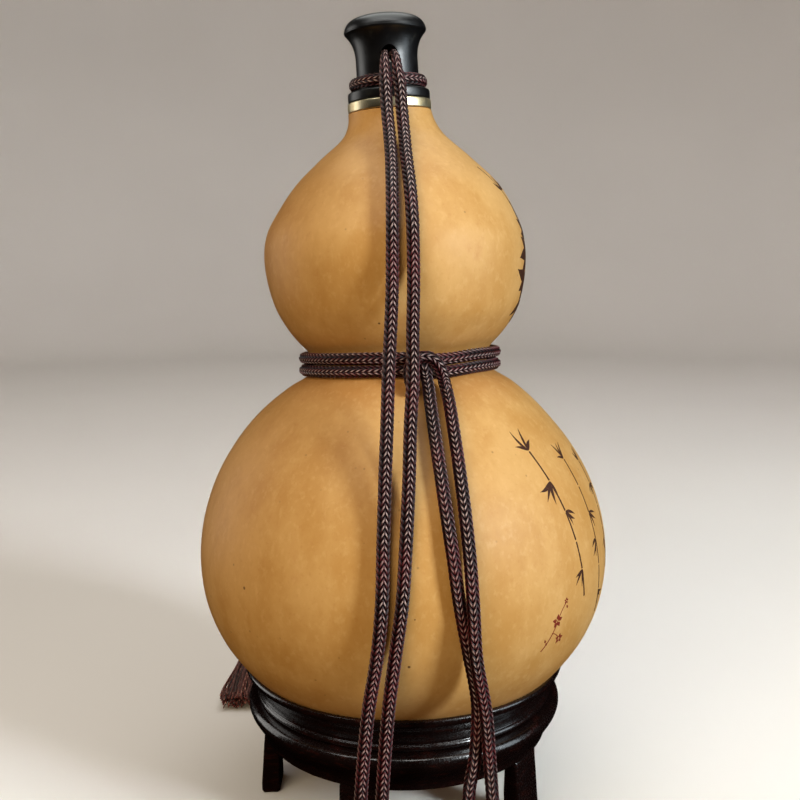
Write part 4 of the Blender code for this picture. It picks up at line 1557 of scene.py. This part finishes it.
@dataclass
class Tassel:
    """The bound head on the tails and the loose threads that fan out from it."""

    top: Vector = Vector((-0.0858, 0.1456, 0.0060))
    tip: Vector = Vector((-0.0838, 0.0665, 0.0048))
    head_length: float = 0.0130
    head_sections: tuple[Point, ...] = (
        (0.00, 0.0040, 0.0040),
        (0.15, 0.0054, 0.0052),
        (0.55, 0.0057, 0.0055),
        (0.80, 0.0052, 0.0050),
        (1.00, 0.0044, 0.0044),
    )
    skirt_sections: tuple[Point, ...] = (
        (0.00, 0.0044, 0.0044),
        (0.08, 0.0062, 0.0054),
        (0.30, 0.0076, 0.0052),
        (0.65, 0.0094, 0.0047),
        (1.00, 0.0112, 0.0043),
    )
    threads: int = 190
    thread_radius: float = 0.00034
    thread_steps: int = 22
    thread_sides: int = 5
    head_turns: int = 20
    head_sides: int = 48
    head_columns: int = 24
    uneven_ends: float = 0.005
    wrap_depth: float = 0.00018

    def frame(self) -> Matrix:
        """The tassel's own place: Y along it, X to its side and Z up."""
        along = (self.tip - self.top).normalized()
        return Matrix.Translation(self.top) @ along.to_track_quat("Y", "Z").to_matrix().to_4x4()

    def head(self, finish: bpy.types.Material) -> bpy.types.Object:
        """Wind the thread that binds the head.

        Args:
            finish: the head's material.

        Returns:
            The head.
        """
        rings = self.head_turns * 4
        bm = bmesh.new()
        bm.loops.layers.uv.new("weave")
        bmesh.ops.create_grid(bm, x_segments=self.head_sides, y_segments=rings, size=1.0, calc_uvs=True)
        shares, widths, heights = zip(*self.head_sections)
        layer = bm.loops.layers.uv["weave"]
        for face in bm.faces:
            for loop in face.loops:
                loop[layer].uv = (loop[layer].uv[0] * self.head_columns, loop[layer].uv[1] * self.head_turns)
        for vert in bm.verts:
            turn = (vert.co.x + 1) / 2 * math.tau
            share = (vert.co.y + 1) / 2
            sunk = self.wrap_depth * (1 - abs(math.sin(share * self.head_turns * math.pi)))
            wide = float(np.interp(share, shares, widths)) - sunk
            high = float(np.interp(share, shares, heights)) - sunk
            vert.co = (wide * math.cos(turn), share * self.head_length, high * math.sin(turn))
        bmesh.ops.remove_doubles(bm, verts=bm.verts, dist=1e-6)
        bmesh.ops.transform(filled(bm), matrix=self.frame(), verts=bm.verts)
        mesh = meshed("tassel_binding", bm)
        return worn(linked("tassel_binding", mesh, finish), Slot.CORD, "tassel_head")

    def thread_line(self, draw: random.Random, start: float, length: float) -> np.ndarray:
        """Route one thread from the head to its cut end.

        Args:
            draw: the seeded random draw.
            start: how far along the tassel the threads begin.
            length: how far along it they end.

        Returns:
            The thread's points in the tassel's own place.
        """
        shares, widths, heights = zip(*self.skirt_sections)
        angle = draw.uniform(0, math.tau)
        depth = math.sqrt(draw.uniform(0.02, 1.0))
        swerve, wave, swing = draw.uniform(-0.35, 0.35), draw.uniform(0, math.tau), draw.uniform(0.5, 1.6)
        points = []
        for step in range(self.thread_steps + 1):
            share = step / self.thread_steps
            wide = float(np.interp(share, shares, widths)) - self.thread_radius
            high = float(np.interp(share, shares, heights)) - self.thread_radius
            turn = angle + swerve * share + 0.10 * math.sin(wave + 9 * share) * share
            fan = depth * (0.82 + 0.16 * math.sin(wave + swing * 5 * share) * share)
            reach = start + (length - start) * share
            points.append((wide * fan * math.cos(turn), reach, high * fan * math.sin(turn)))
        return np.array(points)

    def skirt(self, finish: bpy.types.Material) -> bpy.types.Object:
        """Hang the loose threads.

        Args:
            finish: the threads' material.

        Returns:
            The skirt.
        """
        draw = random.Random(17)
        full = (self.tip - self.top).length
        bm = bmesh.new()
        layer = bm.loops.layers.uv.new("weave")
        for number in range(self.threads):
            line = self.thread_line(draw, self.head_length, full - draw.uniform(0.0, self.uneven_ends))
            out, over = carried_frames(line, (1.0, 0.0, 0.0), False)
            grid = {"x_segments": self.thread_sides, "y_segments": self.thread_steps}
            made = bmesh.ops.create_grid(bm, size=1.0, calc_uvs=True, **grid)["verts"]
            faces = {face for vert in made for face in vert.link_faces}
            for face in faces:
                for loop in face.loops:
                    loop[layer].uv = (number + 0.2 * loop[layer].uv[0], loop[layer].uv[1])
            for vert in made:
                turn = (vert.co.x + 1) / 2 * math.tau
                ring = round((vert.co.y + 1) / 2 * self.thread_steps)
                across = out[ring] * math.cos(turn) + over[ring] * math.sin(turn)
                vert.co = line[ring] + across * self.thread_radius
            bmesh.ops.remove_doubles(bm, verts=made, dist=1e-6)
        bmesh.ops.transform(filled(bm), matrix=self.frame(), verts=bm.verts)
        mesh = meshed("tassel_threads", bm)
        return worn(linked("tassel_threads", mesh, finish), Slot.THREAD, "tassel_skirt")


@dataclass
class RingStand:
    """The turned stand: a lipped ring, a rounded apron and five flat legs."""

    ring_outline: Outline = metres(
        (572, 464), (600, 464), (611, 465), (618, 470), (621, 478), (618, 486), (612, 492), (615, 502),
        (630, 533), (646, 564), (661, 579), (666, 592), (664, 604), (656, 609), (650, 607), (647, 600),
        (612, 562), (577, 522),
    )
    apron_outline: Outline = metres(
        (535, 303), (598, 303), (602, 322), (616, 352), (637, 381), (652, 408), (656, 430), (648, 449),
        (628, 459), (600, 461), (568, 461), (565, 410), (553, 355),
    )
    leg_outline: Outline = metres(
        (540, 0), (602, 0), (610, 9), (611, 40), (604, 120), (598, 200), (592, 265), (590, 300),
        (545, 300), (535, 250), (532, 160), (534, 70), (533, 10),
    )
    leg_count: int = 5
    leg_width: float = 0.016
    first_azimuth: float = math.radians(55)
    soft_edge: float = 0.0009
    steps_round: int = 192

    def leg(self, number: int, finish: bpy.types.Material) -> bpy.types.Object:
        """Cut one leg and soften its edges.

        Args:
            number: which leg it is, from 1.
            finish: its material.

        Returns:
            The leg.
        """
        bm = bmesh.new()
        face = bm.faces.new([bm.verts.new((0.0, -reach, height)) for reach, height in self.leg_outline])
        side = bmesh.ops.extrude_face_region(bm, geom=[face])
        bmesh.ops.translate(bm, verts=new_points(side), vec=(self.leg_width, 0.0, 0.0))
        bmesh.ops.translate(bm, verts=bm.verts, vec=(-self.leg_width / 2, 0.0, 0.0))
        bmesh.ops.recalc_face_normals(bm, faces=bm.faces)
        hard = [edge for edge in bm.edges if edge.calc_face_angle(0.0) > math.radians(50)]
        round_off = {"offset": self.soft_edge, "segments": 3, "profile": 0.5, "affect": "EDGES"}
        bmesh.ops.bevel(bm, geom=hard, material=-1, **round_off)
        azimuth = self.first_azimuth + (number - 1) * math.tau / self.leg_count
        bmesh.ops.rotate(bm, verts=bm.verts, matrix=Matrix.Rotation(azimuth, 3, "Z"))
        name = "stand_leg_%d" % number
        return worn(linked(name, meshed(name, bm), finish), Slot.STAND, "leg_%d" % number)

    def build(self, finish: bpy.types.Material) -> None:
        """Turn the ring and the apron and cut the legs.

        Args:
            finish: the lacquer.
        """
        for name, node, outline in (
            ("stand_lip", "stand_ring", self.ring_outline),
            ("stand_skirt", "stand_apron", self.apron_outline),
        ):
            TurnedPiece(name, node, outline, Slot.STAND, self.steps_round).build(finish)
        for number in range(1, self.leg_count + 1):
            self.leg(number, finish)


def main() -> None:
    """Build the pieces in order."""
    logging.basicConfig(level=logging.INFO, format="%(message)s")
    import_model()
    Studio().build()
    cord_finish = Braid().material()
    black = BlackLacquer().material()
    braid = BraidedCord()
    tassel = Tassel()
    tassel_pieces = [tassel.head(cord_finish), tassel.skirt(Thread().material())]
    FreeCords(braid, cord_finish).build(tassel_pieces)
    BoundCords(braid, cord_finish).build()
    gourd = Gourd()
    gourd.build(Rind().material())
    PaintedSprays(gourd).build()
    MouthFittings().build(Brass().material(), black)
    RingStand().build(StandLacquer().material())


if __name__ == "__main__":
    main()
